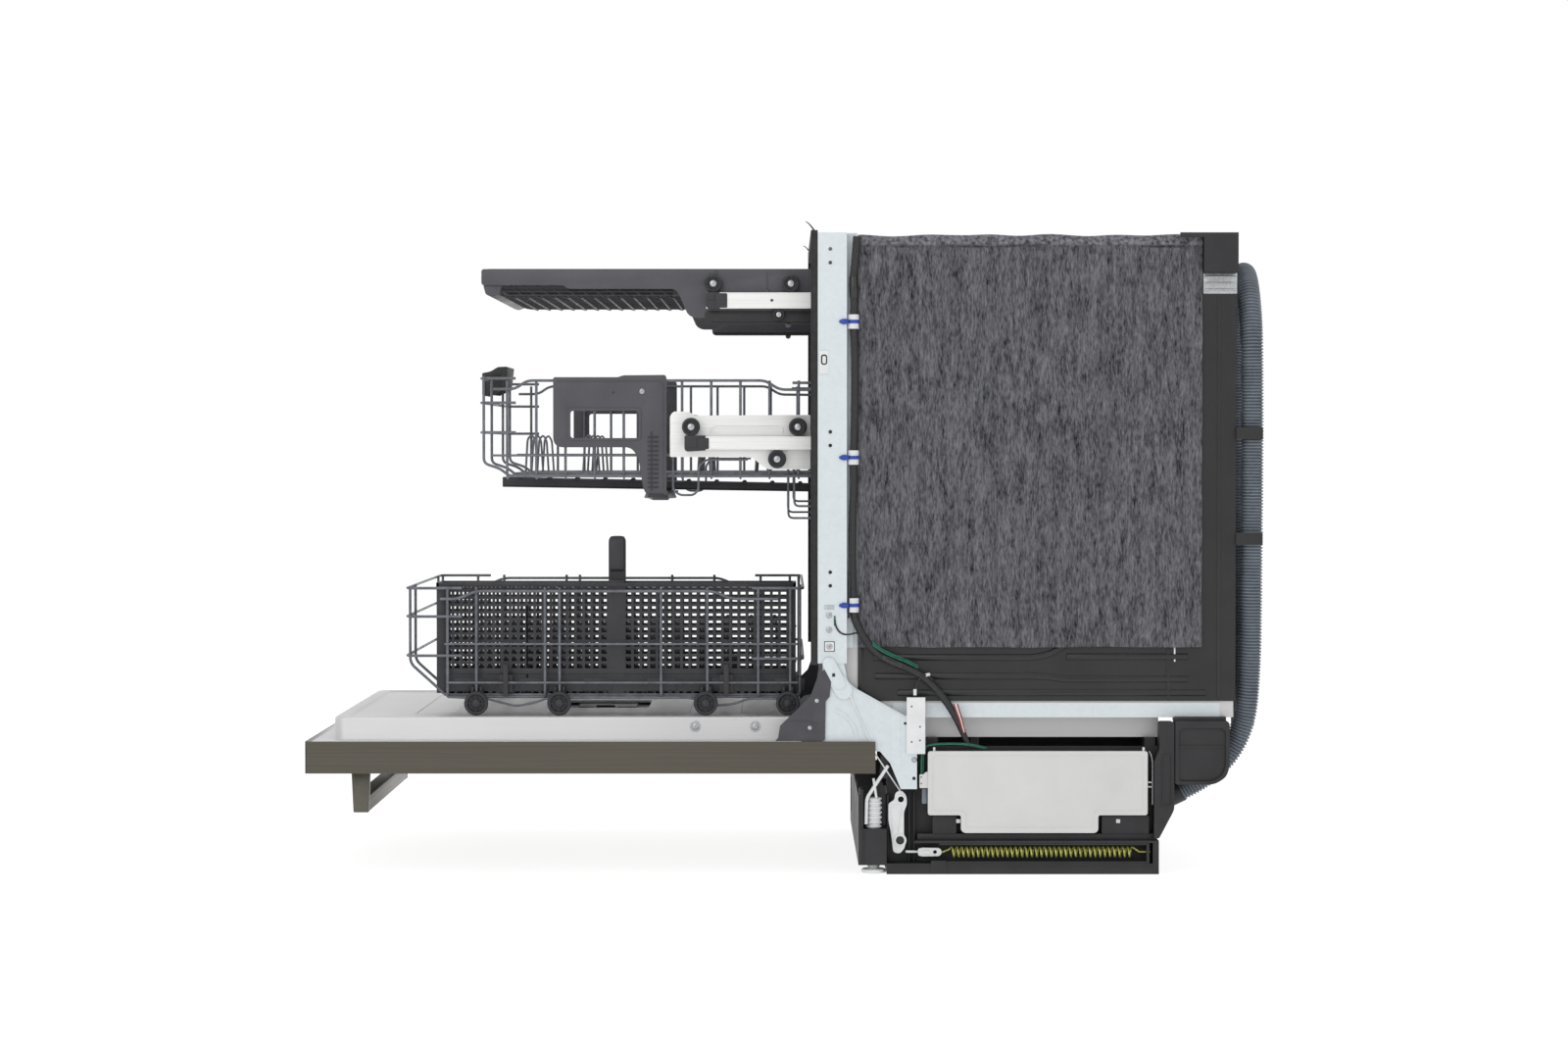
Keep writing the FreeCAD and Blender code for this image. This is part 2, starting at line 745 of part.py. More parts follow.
def make_controls():
    y = ("control_front_y", "control_rear_y")
    outer = box(("base_inner", "half - 11"), y, ("control_bottom_z", "control_top_z"))
    inner = box(("base_inner + 3", "half - 10"),
                ("control_front_y + 3", "control_rear_y - 3"),
                ("control_bottom_z + 3", "control_top_z - 3"))
    finish("control_housing", [cut(outer, [inner])])
    plate = box(("half - 11", "half - 4"), y, ("control_bottom_z", "control_top_z"))
    tongue = box(("half - 8", "half - 4"), ("control_front_y + 44", "control_rear_y - 66"),
                 ("control_tongue_z", "control_bottom_z + 1"))
    tab = box(("half - 8", "half - 4"), ("control_front_y - 11", "control_front_y + 1"),
              (114, 136))
    finish("control_cover", [fuse([plate, tongue, tab])])


def make_rear_housing():
    top = box(("base_half - 36", "base_half"), ("housing_front_y", "housing_rear_y"),
              ("housing_bottom_z + 25", "housing_top_z"))
    bottom = box(("base_half - 36", "base_half"), ("housing_front_y", "housing_rear_y - 25"),
                 ("housing_bottom_z", "housing_bottom_z + 26"))
    foot = box(("base_half - 36", "base_inner"), ("base_step_y", "housing_front_y + 1"),
               ("housing_bottom_z", "base_top_z"))
    finish("rear_housing", [fuse([top, bottom, foot])])


HOSE_ROUTE = [
    (232, 530, 106), (240, 575, 128), (246, 615, 186), (256, 620.3, 266), (264, 620, 380),
    (263, 620, 520), (265, 620, 650), (262, 620, 730), (222, 620, 792), (160, 620, 794),
    (112, 620, 740), (118, 620, 640), (150, 620, 510), (180, 620, 380), (190, 620, 270),
    (192, 620, 190),
]


def make_hose():
    hose = tube(HOSE_ROUTE, value("hose_radius"), "drain hose", value("hose_bore_radius"))
    finish("drain_hose", [solid(hose)])


def make_hose_clips():
    radius = value("hose_radius") + value("clearance")
    back = value("tub_rear_y + mat_thickness")
    clips = []
    for x, z in ((264.0, 445.0), (265.0, 585.0), (164.5, 445.0)):
        rim = block((x - radius - 6, x + radius + 6), (back, back + 20.0 + radius), (z - 8, z + 8))
        bore = Part.makeCylinder(radius + 3.4, 40, FreeCAD.Vector(x, 620, z - 20))
        clips.append(solid(rim.cut(bore)))
    finish("hose_clips", clips)


# The first number is how far the bundle leans outwards from its clips.
HARNESS_ROUTE = [
    (-0.2, 90.3, 842), (0.1, 90.6, 760), (-0.2, 90.4, 660), (0.1, 90.6, 560),
    (-0.2, 90.4, 440), (0.1, 90.6, 334), (3.5, 122, 288), (3.0, 172, 272),
    (1.0, 208, 240), (-2.5, 232, 200), (-6.5, 243, 172),
]


def make_harness():
    centre = value("tub_half + harness_stand_out")
    route = [(centre + lean, y, z) for lean, y, z in HARNESS_ROUTE]
    harness = tube(route, value("harness_radius"), "wire harness")
    finish("wire_harness", [solid(harness)])


def make_harness_clips():
    clips = []
    centre = value("tub_half + harness_stand_out")
    for z in (733.0, 553.0, 357.0):
        sleeve = block((centre - 7.1, centre + 7.1), (82.2, 96.8), (z - 6, z + 6))
        bore = Part.makeCylinder(value("harness_radius") + 0.8, 40,
                                 FreeCAD.Vector(centre, 90.5, z - 20))
        clips.append(solid(sleeve.cut(bore)))
    finish("harness_clips", clips)


def make_frame_screws():
    screws = []
    for y, z in ((62.0, 347.0), (60.0, 324.5), (60.0, 302.5)):
        head = Part.makeCylinder(4, 2, FreeCAD.Vector(value("upright_half"), y, z),
                                 FreeCAD.Vector(1, 0, 0))
        screws.append(solid(head))
    group = []
    for screw in screws:
        group += both_sides(screw)
    finish("frame_screws", group)


# ---------------------------------------------------------------- door


def make_door_skin():
    outer = box(("-half", "half"), ("door_end", "door_foot"), ("skin_low", "skin_high"))
    inner = box(("-half + skin_wall", "half - skin_wall"),
                ("door_end + skin_wall", "door_foot - skin_wall"),
                ("skin_low + skin_wall", "skin_high + 5"))
    notches = [
        box((low, high), ("door_foot - 5", "door_foot + 5"),
            ("skin_low + skin_wall", "skin_high + 5"))
        for low, high in (("half - tail_flange_inset", "half - skin_wall"),
                          ("-half + skin_wall", "-half + tail_flange_inset"))
    ]
    finish("door_skin", [cut(outer, [inner, *notches])])


def make_door_liner():
    outer = box(("-liner_half", "liner_half"), ("liner_front", "liner_rear"),
                ("skin_high", "liner_top"))
    inner = box(("-liner_half + liner_wall", "liner_half - liner_wall"),
                ("liner_front + liner_wall", "liner_rear - liner_wall"),
                ("skin_high - 5", "liner_top - liner_wall"))
    shell = cut(outer, [inner])
    x = ("-liner_half + liner_track", "liner_half - liner_track")
    y = ("liner_front + liner_recess_front", "liner_rear - liner_recess_rear")
    pan = box(x, y, ("liner_top - liner_recess", "liner_top"))
    dish = box((f"{x[0]} + liner_wall", f"{x[1]} - liner_wall"),
               (f"{y[0]} + liner_wall", f"{y[1]} - liner_wall"),
               ("liner_top - liner_recess + liner_wall", "liner_top + 5"))
    hole = box(("-dispenser_width / 2", "dispenser_width / 2"),
               ("dispenser_y - dispenser_length / 2", "dispenser_y + dispenser_length / 2"),
               ("liner_top - 20", "liner_top + 5"))
    ends = [
        box(("-half + skin_wall", "half - skin_wall"),
            ("door_end + skin_wall + control_strip_depth", "liner_front + liner_wall"),
            ("skin_high - liner_wall", "skin_high")),
        box(("liner_half - liner_wall", "half - skin_wall"),
            ("liner_front", -62), ("skin_high - liner_wall", "skin_high")),
        box(("-half + skin_wall", "-liner_half + liner_wall"),
            ("liner_front", -62), ("skin_high - liner_wall", "skin_high")),
    ]
    finish("door_liner", [cut(fuse([shell, pan, *ends]), [dish, hole])])


def make_handle():
    y = ("door_end + handle_end_inset", "door_end + handle_end_inset + handle_bar")
    bar = box(("-half + handle_side_inset", "half - handle_side_inset"), y,
              ("skin_low - handle_standoff", "skin_low - handle_standoff + handle_bar"))
    posts = [
        box((low, high), y, ("skin_low - handle_standoff", "skin_low"))
        for low, high in (
            ("half - handle_side_inset - handle_bar", "half - handle_side_inset"),
            ("-half + handle_side_inset", "-half + handle_side_inset + handle_bar"))
    ]
    finish("door_handle", [fuse([bar, *posts])])


def make_control_strip():
    strip = box(("-half + skin_wall", "half - skin_wall"),
                ("door_end + skin_wall", "door_end + skin_wall + control_strip_depth"),
                ("skin_low + skin_wall", "skin_high"))
    finish("control_strip", [strip])


def make_latch():
    latch = box(("-latch_width / 2", "latch_width / 2"),
                ("door_end + 7.4", "liner_front"), ("skin_high", "skin_high + 12"))
    finish("door_latch", [latch])


def make_hinge_arms():
    outline = [
        (-9.3, 181), (-6.5, 197.3), (33.7, 236.2), (42.8, 260.9), (51.7, 271.8), (61.4, 259.9),
        (59.2, 236.2), (54, 229.7), (53.2, 179.1), (40, 172), (-20, 172), (-20, 164),
        (-60, 164), (-60, 176), (-14, 176),
    ]
    loop = [(f"pivot_y + {y - 34:.1f}".replace("+ -", "- "),
             f"pivot_z + {z - 182:.1f}".replace("+ -", "- ")) for y, z in outline]
    inner = "bracket_outer + clearance"
    plate = profile("YZ", [loop], inner, f"{inner} + arm_thickness")
    pin = rod("x", "bracket_outer - bracket_thickness - 4", f"{inner} + 1",
              ("pivot_y", "pivot_z"), "pin_radius")
    foot = box(("bracket_outer - 3", f"{inner} + arm_thickness"), (-60, -20),
               ("skin_low + skin_wall", 168))
    finish("hinge_arms", both_sides(fuse([plate, pin, foot])))


def make_dispenser():
    z = ("liner_top - liner_recess - dispenser_depth", "liner_top - liner_recess + liner_wall + 2")
    y = ("dispenser_y - dispenser_length / 2 + clearance",
         "dispenser_y + dispenser_length / 2 - clearance")
    x = ("-dispenser_width / 2 + clearance", "dispenser_width / 2 - clearance")
    outer = box(x, y, z)
    cup = box((-60, -5), ("dispenser_y - 35", "dispenser_y + 35"),
              ("liner_top - liner_recess - dispenser_depth + 3", "liner_top"))
    seat = rod("z", "liner_top - liner_recess - 8", "liner_top + 5", (45, "dispenser_y"),
               "rinse_cap_radius + clearance")
    finish("dispenser_body", [cut(outer, [cup, seat])])
    top = "liner_top - liner_recess + liner_wall + 2 + clearance"
    lid = box((-66, 0), ("dispenser_y - 41", "dispenser_y + 41"), (top, f"{top} + lid_thickness"))
    finish("dispenser_lid", [lid])
    cap = rod("z", "liner_top - liner_recess - 8 + clearance", "liner_top - 4",
              (45, "dispenser_y"), "rinse_cap_radius")
    grip = box((43.5, 46.5), ("dispenser_y - 13", "dispenser_y + 13"),
               ("liner_top - 5", "liner_top - 1"))
    finish("rinse_cap", [fuse([cap, grip])])


def make_liner_screws():
    screws = []
    for y in (-118.0, -38.6):
        place = FreeCAD.Vector(value("liner_half"), y, value("pivot_z") + 12)
        head = Part.makeCylinder(4.5, 2, place, FreeCAD.Vector(1, 0, 0))
        screws += both_sides(solid(head))
    finish("liner_screws", screws)


# ---------------------------------------------------------------- door balance


def make_levers():
    outline = [
        (139, 108), (143, 112), (150, 106), (149, 86), (156, 64), (160.5, 50), (160, 29),
        (152, 24), (147, 30), (144, 48), (141, 70), (139, 92),
    ]
    loop = [(f"lever_pivot_y + {y - 153:.1f}".replace("+ -", "- "),
             f"lever_pivot_z + {z - 44:.1f}".replace("+ -", "- ")) for y, z in outline]
    plate = profile("YZ", [loop], "lever_inner", "lever_inner + lever_thickness")
    hole = rod("x", "lever_inner - 5", "lever_inner + lever_thickness + 5",
               ("lever_pivot_y", "lever_pivot_z"), "lever_pin_radius + pin_fit")
    finish("door_levers", both_sides(cut(plate, [hole])))


def make_spring_rods():
    middle = "lever_inner + lever_thickness / 2"
    pull = rod("y", 163, 178, (middle, "spring_z"), "rod_radius")
    clevis = box((f"{middle} - 5", f"{middle} + 5"), (177, 207),
                 ("spring_z - 6", "spring_z + 6"))
    hook = rod("y", 206, "spring_front_y - 1", (middle, "spring_z"), "rod_radius")
    finish("spring_rods", both_sides(fuse([pull, clevis, hook])))


def make_springs():
    middle = "lever_inner + lever_thickness / 2"
    coil = rod("y", "spring_front_y", "spring_rear_y", (middle, "spring_z"), "spring_radius")
    core = rod("y", "spring_front_y - 5", "spring_rear_y + 5", (middle, "spring_z"),
               "spring_radius - spring_wire")
    hook = rod("y", "spring_rear_y - 1", "base_rear_y - 8", (middle, "spring_z"), "rod_radius")
    cap = rod("y", "spring_rear_y - 2", "spring_rear_y", (middle, "spring_z"),
              "spring_radius - spring_wire + 0.5")
    spring = fuse([cut(coil, [core]), hook, cap])
    cords = []
    start = FreeCAD.Vector(value(middle), 144.5, 113.5)
    ahead = FreeCAD.Vector(0, -26.0, 44.0)
    cord = solid(Part.makeCylinder(1.2, ahead.Length, start, ahead))
    cords += both_sides(cord)
    finish("door_springs", [*both_sides(spring), *cords])


# ---------------------------------------------------------------- racks


def make_lower_rack():
    wire = value("rack_wire")
    half = value("lower_half_width")
    front, rear = value("lower_front_y"), value("lower_rear_y")
    floor, rim = value("lower_floor_z"), value("lower_rim_z")
    deep = spaced(front, rear, 58)
    inside = half - wire
    pieces = [
        grille(spaced(-inside, inside, 41), deep[:], "z", floor - wire / 2, wire, wire),
    ]
    up = [floor + wire, floor + 20, 302.0, rim]
    for side in (-half - wire / 2, half - wire / 2):
        pieces.append(grille(deep, up, "x", side, wire, wire))
    cross = spaced(-half + wire * 1.5, half - wire * 1.5, 60)
    for end in (front - wire / 2, rear - wire / 2):
        pieces.append(grille(cross, up, "y", end, wire, wire))
    for x in (-190.0, -120.0, -50.0, 20.0, 90.0):
        comb = [block((x - 2, x + 2), (front + 40, rear - 40),
                      (floor + wire / 2, floor + wire / 2 + 3))]
        for y in spaced(front + 50, rear - 50, 34):
            comb.append(block((x - 1.6, x + 1.6), (y - 1.6, y + 1.6),
                              (floor + wire / 2 + 1, floor + 92)))
        pieces.append(comb[0].multiFuse(comb[1:]))
    finish("lower_rack", [solid(p) for p in pieces])


def make_lower_wheels():
    axle = "liner_top + clearance + wheel_radius"
    for letter, y in LOWER_WHEELS.items():
        tyre = rod("x", "wheel_inner", "wheel_inner + wheel_width", (y, axle), "wheel_radius")
        stub = rod("x", "wheel_inner - 1", "wheel_inner + 1", (y, axle), "wheel_axle_radius")
        finish(f"lower_wheels_{letter}", both_sides(fuse([tyre, stub])))


def make_cutlery_basket():
    outer_x = value("lower_half_width - rack_wire - basket_side_gap")
    inner_x = outer_x - value("basket_width")
    front, rear = value("basket_front_y"), value("basket_rear_y - 4")
    low = value("lower_floor_z + rack_wire")
    high = low + value("basket_height")
    wall = value("basket_wall")
    shell = block((inner_x, outer_x), (front, rear), (low, high))
    middle = (front + rear) / 2
    for y0, y1 in ((front + wall, middle - 8), (middle + 8, rear - wall)):
        shell = shell.cut(block((inner_x + wall, outer_x - wall), (y0, y1), (low + wall, high + 5)))
    rise = value("basket_handle_rise")
    x = (inner_x + outer_x) / 2
    handle = block((x - 14, x + 14), (middle - 11, middle + 11), (high - 5, high + rise))
    grip = block((x - 20, x + 20), (middle - 5, middle + 5), (high + rise - 40, high + rise - 15))
    finish("cutlery_basket", [solid(shell.fuse(handle).cut(grip).removeSplitter())])


def make_middle_rack():
    wire = value("rack_wire")
    half = value("middle_half_width")
    front, rear = value("middle_front_y"), value("middle_rear_y")
    floor, rim = value("middle_floor_z"), value("middle_rim_z")
    deep = spaced(front, rear, 38)
    inside = half - wire
    pieces = [grille(spaced(-inside, inside, 41), deep, "z", floor - wire / 2, wire, wire)]
    up = [floor + wire, 554.5, rim]
    for side in (-half - wire / 2, half - wire / 2):
        pieces.append(grille(deep, up, "x", side, wire, wire))
    cross = spaced(-half + wire * 1.5, half - wire * 1.5, 45)
    tall = [floor + wire, 588.0, 622.0, rim]
    for end in (front - wire / 2, rear - wire / 2):
        pieces.append(grille(cross, tall, "y", end, wire, wire))
    finish("middle_rack", [solid(p) for p in pieces])


def make_adjusters():
    inner = "middle_half_width + rack_wire / 2"
    outline = [
        (-310, 579), (-310, 661), (-196, 661), (-190, 663.5), (-158.7, 663.5), (-158.7, 505),
        (-191, 505), (-191, 566), (-302, 566),
    ]
    window = [(-286, 581), (-286, 613), (-195, 613), (-195, 581)]
    plate = profile("YZ", [outline, window], inner, f"{inner} + adjuster_thickness")
    finish("rack_adjusters", both_sides(plate))


def make_rack_brackets():
    """Steel plates that carry the rollers of the middle rack."""
    inner = "middle_half_width + rack_wire / 2 + adjuster_thickness + clearance"
    outer = "middle_half_width + rack_wire / 2 + adjuster_thickness + 2.2"
    outline = [
        (-152, 553), (-152, 612), (-140, 618), (34, 618), (34, 536), (-30, 536), (-46, 553),
    ]
    plate = profile("YZ", [outline], inner, outer)
    tongue = box((inner, outer), (-185, -150), (585, 605))
    axles = [
        rod("x", f"{outer} - 1", "roller_inner + rail_width - 1", (y, "middle_roller_z"), 3)
        for y in MIDDLE_ROLLERS.values()
    ]
    axles.append(rod("x", f"{outer} - 1", "roller_inner + rail_width - 1",
                     (MIDDLE_UNDER_ROLLER, "middle_under_roller_z"), 3))
    finish("rack_brackets", both_sides(fuse([plate, tongue, *axles])))


def roller_pair(label, y, centre, radius, inner):
    tyre = rod("x", inner, f"{inner} + rail_width - 0.5", (y, centre), radius)
    bore = rod("x", f"{inner} - 5", f"{inner} + rail_width + 5", (y, centre), "3 + pin_fit")
    finish(label, both_sides(cut(tyre, [bore])))


def make_middle_rollers():
    for letter, y in MIDDLE_ROLLERS.items():
        roller_pair(f"middle_rollers_{letter}", y, "middle_roller_z", "middle_roller_radius",
                    "roller_inner")
    roller_pair("middle_rollers_c", MIDDLE_UNDER_ROLLER, "middle_under_roller_z",
                "middle_roller_radius", "roller_inner")


def make_middle_rails():
    y = ("middle_rail_front_y", "middle_rail_front_y + middle_rail_length")
    low = "middle_under_roller_z + middle_roller_radius + clearance"
    high = "middle_roller_z - middle_roller_radius - clearance"
    track = box(("roller_inner", "roller_inner + rail_width"), y, (low, high))
    web = box(("roller_inner - 4", "roller_inner - 2"), y, (low, high))
    joint = box(("roller_inner - 3", "roller_inner + 1"), y, (f"{low} + 6", f"{high} - 6"))
    finish("middle_rails", both_sides(fuse([track, web, joint])))


def make_middle_feed():
    bar = box((-14, 14), ("middle_front_y + 6", "middle_rear_y + 2"),
              ("middle_floor_z - rack_wire / 2 - 16", "middle_floor_z - rack_wire / 2"))
    hub = rod("z", "middle_floor_z - rack_wire / 2 - 19", "middle_floor_z - rack_wire / 2 - 15",
              (0, -175), 15)
    finish("middle_feed_bar", [fuse([bar, hub])])


def spray_arm(label, y, low, reach):
    blade = box((f"-({reach})", reach), (f"{y} - spray_width / 2", f"{y} + spray_width / 2"),
                (low, f"{low} + spray_height"))
    hub = rod("z", low, f"{low} + spray_height", (0, y), 26)
    finish(label, [fuse([blade, hub])])


def make_spray_arms():
    spray_arm("middle_spray_arm", -175, "middle_floor_z - rack_wire / 2 - 19.3 - spray_height",
              "spray_reach - 25")
    spray_arm("lower_spray_arm", "sump_centre_y", "tub_floor + 3 + clearance", "spray_reach")


def make_third_rack():
    inner = "third_half_width - 3.5"
    outline = [
        ("third_front_y", "third_top_z"), ("third_rear_y", "third_top_z"),
        ("third_rear_y", "third_top_z - 70"), ("third_front_y + 298", "third_top_z - 70"),
        ("third_front_y + 288", "third_top_z - 60"), ("third_front_y + 262", "third_top_z - 25"),
        ("third_front_y + 10", "third_top_z - 25"), ("third_front_y", "third_top_z - 14"),
    ]
    side = profile("YZ", [outline], inner, "third_half_width")
    other = mirrored(side)
    low, high = "-third_half_width + 1", "third_half_width - 1"
    front = box((low, high), ("third_front_y", "third_front_y + 6"),
                ("third_top_z - 16", "third_top_z"))
    rear = box((low, high), ("third_rear_y - 5", "third_rear_y"),
               ("third_top_z - 34", "third_top_z - 20"))
    spots = [(y, "third_roller_z") for y in THIRD_ROLLERS.values()]
    spots.append((THIRD_UNDER_ROLLER, "third_under_roller_z"))
    axles = [rod("x", "third_half_width - 1", "roller_inner + rail_width - 1", spot, 3)
             for spot in spots]
    finish("third_rack_frame",
           [fuse([side, other, front, rear, *axles, *[mirrored(a) for a in axles]])])


def make_third_basket():
    wire = value("rack_wire") - 0.6
    half = value("third_half_width") - 6
    front = value("third_front_y") + 9
    top = value("third_top_z")
    rear = value("third_rear_y") - 8
    step = front + 245
    across = spaced(-half, half, 40)
    deep = grille(across, spaced(front + 14, step, 17), "z", top - 53, wire, wire)
    shallow = grille(across, spaced(step + 6, rear, 20), "z", top - 30, wire, wire)
    pieces = [deep, shallow]
    for x in (-half - wire / 2, half - wire / 2):
        pieces.append(grille(spaced(front + 14, step, 17), [top - 53 + wire * 1.5, top - 20], "x",
                             x, wire, wire))
    finish("third_rack_basket", [solid(p) for p in pieces])


def make_third_rollers():
    for letter, y in THIRD_ROLLERS.items():
        roller_pair(f"third_rollers_{letter}", y, "third_roller_z", "third_roller_radius",
                    "roller_inner")
    roller_pair("third_rollers_c", THIRD_UNDER_ROLLER, "third_under_roller_z",
                "third_under_radius", "roller_inner")


def make_third_rails():
    y = ("third_rail_front_y", "third_rail_front_y + third_rail_length")
    low = "third_under_roller_z + third_under_radius + clearance"
    high = "third_roller_z - third_roller_radius - clearance"
    finish("third_rails", both_sides(
        box(("roller_inner", "roller_inner + rail_width"), y, (low, high))))


def make_rail_guides():
    """Plastic guides on the tub walls that the two pairs of rails slide between."""
    low_rail = ("middle_under_roller_z + middle_roller_radius + clearance",
                "middle_roller_z - middle_roller_radius - clearance")
    high_rail = ("third_under_roller_z + third_under_radius + clearance",
                 "third_roller_z - third_roller_radius - clearance")
    guides = []
    for low, high in (low_rail, high_rail):
        for y in (70, 290):
            guides += both_sides(box(("roller_inner + rail_width + guide_gap",
                                      "tub_half - tub_wall"), (y, y + 34),
                                     (f"{low} - 4", f"{high} + 4")))
    finish("rail_guides", guides)


def make_all():
    make_base()
    make_feet()
    make_tub()
    make_sound_mat()
    make_felt()
    make_tub_frame()
    make_gasket()
    make_rear_corners()
    make_hinge_brackets()
    make_harness_guide()
    make_feed_tube()
    make_rail_guides()
    make_sump()
    make_filter()
    make_pumps()
    make_inlet_valve()
    make_controls()
    make_rear_housing()
    make_hose()
    make_hose_clips()
    make_harness()
    make_harness_clips()
    make_frame_screws()
    make_door_skin()
    make_door_liner()
    make_handle()
    make_control_strip()
    make_latch()
    make_hinge_arms()
    make_dispenser()
    make_liner_screws()
    make_levers()
    make_spring_rods()
    make_springs()
    make_lower_rack()
    make_lower_wheels()
    make_cutlery_basket()
    make_middle_rack()
    make_adjusters()
    make_rack_brackets()
    make_middle_rollers()
    make_middle_rails()
    make_middle_feed()
    make_spray_arms()
    make_third_rack()
    make_third_basket()
    make_third_rollers()
    make_third_rails()


def write_all():
    doc.recompute()
    for made in doc.Objects:
        for state in ("Invalid", "Error"):
            if state in made.State:
                raise RuntimeError(f"{made.Label} is {state}")
    os.makedirs("parts", exist_ok=True)
    for made in finished:
        shape = made.Shape
        if shape.isNull() or not shape.isValid() or not shape.Solids:
            raise RuntimeError(f"{made.Label} has no valid shape")
    for made in finished:
        made.Shape.exportStep(f"parts/{made.Label}.step")
    print(f"{len(finished)} sub-parts written")


make_all()
write_all()
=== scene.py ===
import bpy
import bmesh
import math
import random
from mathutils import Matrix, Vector, noise


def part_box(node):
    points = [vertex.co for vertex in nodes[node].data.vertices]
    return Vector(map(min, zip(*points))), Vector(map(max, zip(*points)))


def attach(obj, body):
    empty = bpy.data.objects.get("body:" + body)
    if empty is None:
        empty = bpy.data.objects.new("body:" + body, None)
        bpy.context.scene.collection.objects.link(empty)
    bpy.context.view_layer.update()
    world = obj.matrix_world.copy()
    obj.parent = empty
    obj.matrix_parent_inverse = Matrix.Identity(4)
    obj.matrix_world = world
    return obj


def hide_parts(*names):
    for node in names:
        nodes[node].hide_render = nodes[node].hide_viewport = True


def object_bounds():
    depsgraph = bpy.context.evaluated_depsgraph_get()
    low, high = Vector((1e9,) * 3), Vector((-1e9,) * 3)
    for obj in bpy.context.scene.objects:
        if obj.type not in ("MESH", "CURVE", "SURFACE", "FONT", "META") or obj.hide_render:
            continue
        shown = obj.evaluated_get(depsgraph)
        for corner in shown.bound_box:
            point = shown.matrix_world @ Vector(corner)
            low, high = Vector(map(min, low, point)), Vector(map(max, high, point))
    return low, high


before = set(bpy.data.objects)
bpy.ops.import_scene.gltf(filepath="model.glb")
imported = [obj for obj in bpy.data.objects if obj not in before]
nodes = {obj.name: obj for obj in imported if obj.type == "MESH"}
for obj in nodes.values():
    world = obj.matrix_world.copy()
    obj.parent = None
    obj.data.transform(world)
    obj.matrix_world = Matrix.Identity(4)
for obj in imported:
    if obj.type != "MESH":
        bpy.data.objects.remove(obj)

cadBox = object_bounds()
mm = 0.001
halfWidth = cadBox[1][0] / mm  # every length below is in millimetres unless it says so


def nodeBox(node):
    low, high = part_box(node)
    return [v / mm for v in low], [v / mm for v in high]


print("camera and room")
room = {"lens": 84.8, "distance": 4890.0, "eyeHeight": 567.0, "tilt": 1.14,
        "skyStrength": 1.0, "sideSky": 0.62, "floorGlow": 0.86, "floorHalf": 30.0}
# each lamp: where it stands in metres, how wide it is, how strong it is
lamps = {
    "topSoftbox": ((0.8, 0.0, 3.4), 3.2, 30.0),
    "sideSoftbox": ((3.9, -1.6, 2.0), 2.6, 33.0),
    "backSoftbox": ((3.4, 2.8, 1.8), 2.0, 11.0),
    "frontSoftbox": ((-1.2, -3.6, 1.9), 2.0, 6.0),
}
view = bpy.data.cameras.new("sideCamera")
view.lens = room["lens"]
view.sensor_width = 36.0
view.clip_end = 60.0
eye = bpy.data.objects.new("sideCamera", view)
bpy.context.scene.collection.objects.link(eye)
eye.location = ((halfWidth + room["distance"]) * mm, -0.0013, room["eyeHeight"] * mm)
eye.rotation_euler = (math.radians(90 - room["tilt"]), 0, math.radians(90))
bpy.context.scene.camera = eye
bpy.context.scene.view_settings.view_transform = "Standard"


def addBox(bm, low, high):
    made = bmesh.ops.create_cube(bm, size=1.0)["verts"]
    for v in made:
        v.co = Vector([low[i] if v.co[i] < 0 else high[i] for i in range(3)])
    return made


def addSlab(bm, outline, axis, low, high, holes=()):
    # a flat outline pushed along an axis; outline holds the other two coordinates in order
    def place(u, v, w):
        return Vector({"x": (w, u, v), "y": (u, w, v), "z": (u, v, w)}[axis])

    if not holes:
        ends = [[bm.verts.new(place(u, v, w)) for u, v in outline] for w in (low, high)]
        bm.faces.new(ends[0])
        bm.faces.new(ends[1][::-1])
        for i in range(len(outline)):
            j = (i + 1) % len(outline)
            bm.faces.new([ends[0][i], ends[1][i], ends[1][j], ends[0][j]])
        return
    edges = []
    for loop in [outline, *holes]:
        ring = [bm.verts.new(place(u, v, low)) for u, v in loop]
        edges += [bm.edges.new((ring[i], ring[(i + 1) % len(ring)])) for i in range(len(ring))]
    filled = bmesh.ops.triangle_fill(bm, use_beauty=True, use_dissolve=False, edges=edges)
    faces = [f for f in filled["geom"] if isinstance(f, bmesh.types.BMFace)]
    pushed = bmesh.ops.extrude_face_region(bm, geom=faces)
    lift = place(0, 0, high) - place(0, 0, low)
    bmesh.ops.translate(bm, vec=lift, verts=[v for v in pushed["geom"]
                                             if isinstance(v, bmesh.types.BMVert)])


def addLoft(bm, rings):
    # a closed body through rings of vertices, capped at both ends
    for a, b in zip(rings, rings[1:]):
        for i in range(len(a)):
            j = (i + 1) % len(a)
            bm.faces.new([a[i], b[i], b[j], a[j]])
    bm.faces.new(rings[0])
    bm.faces.new(rings[-1][::-1])


def frameAlong(ahead):
    side = ahead.orthogonal().normalized()
    return side, ahead.cross(side).normalized()


def addRod(bm, start, end, radius, sides=20, endRadius=None):
    start, end = Vector(start), Vector(end)
    ahead = (end - start).normalized()
    u, v = frameAlong(ahead)
    rings = []
    for centre, r in ((start, radius), (end, radius if endRadius is None else endRadius)):
        rings.append([bm.verts.new(centre + (u * math.cos(a) + v * math.sin(a)) * r)
                      for a in [2 * math.pi * i / sides for i in range(sides)]])
    bm.faces.new(rings[0][::-1])
    bm.faces.new(rings[1])
    for i in range(sides):
        j = (i + 1) % sides
        bm.faces.new([rings[0][i], rings[0][j], rings[1][j], rings[1][i]])


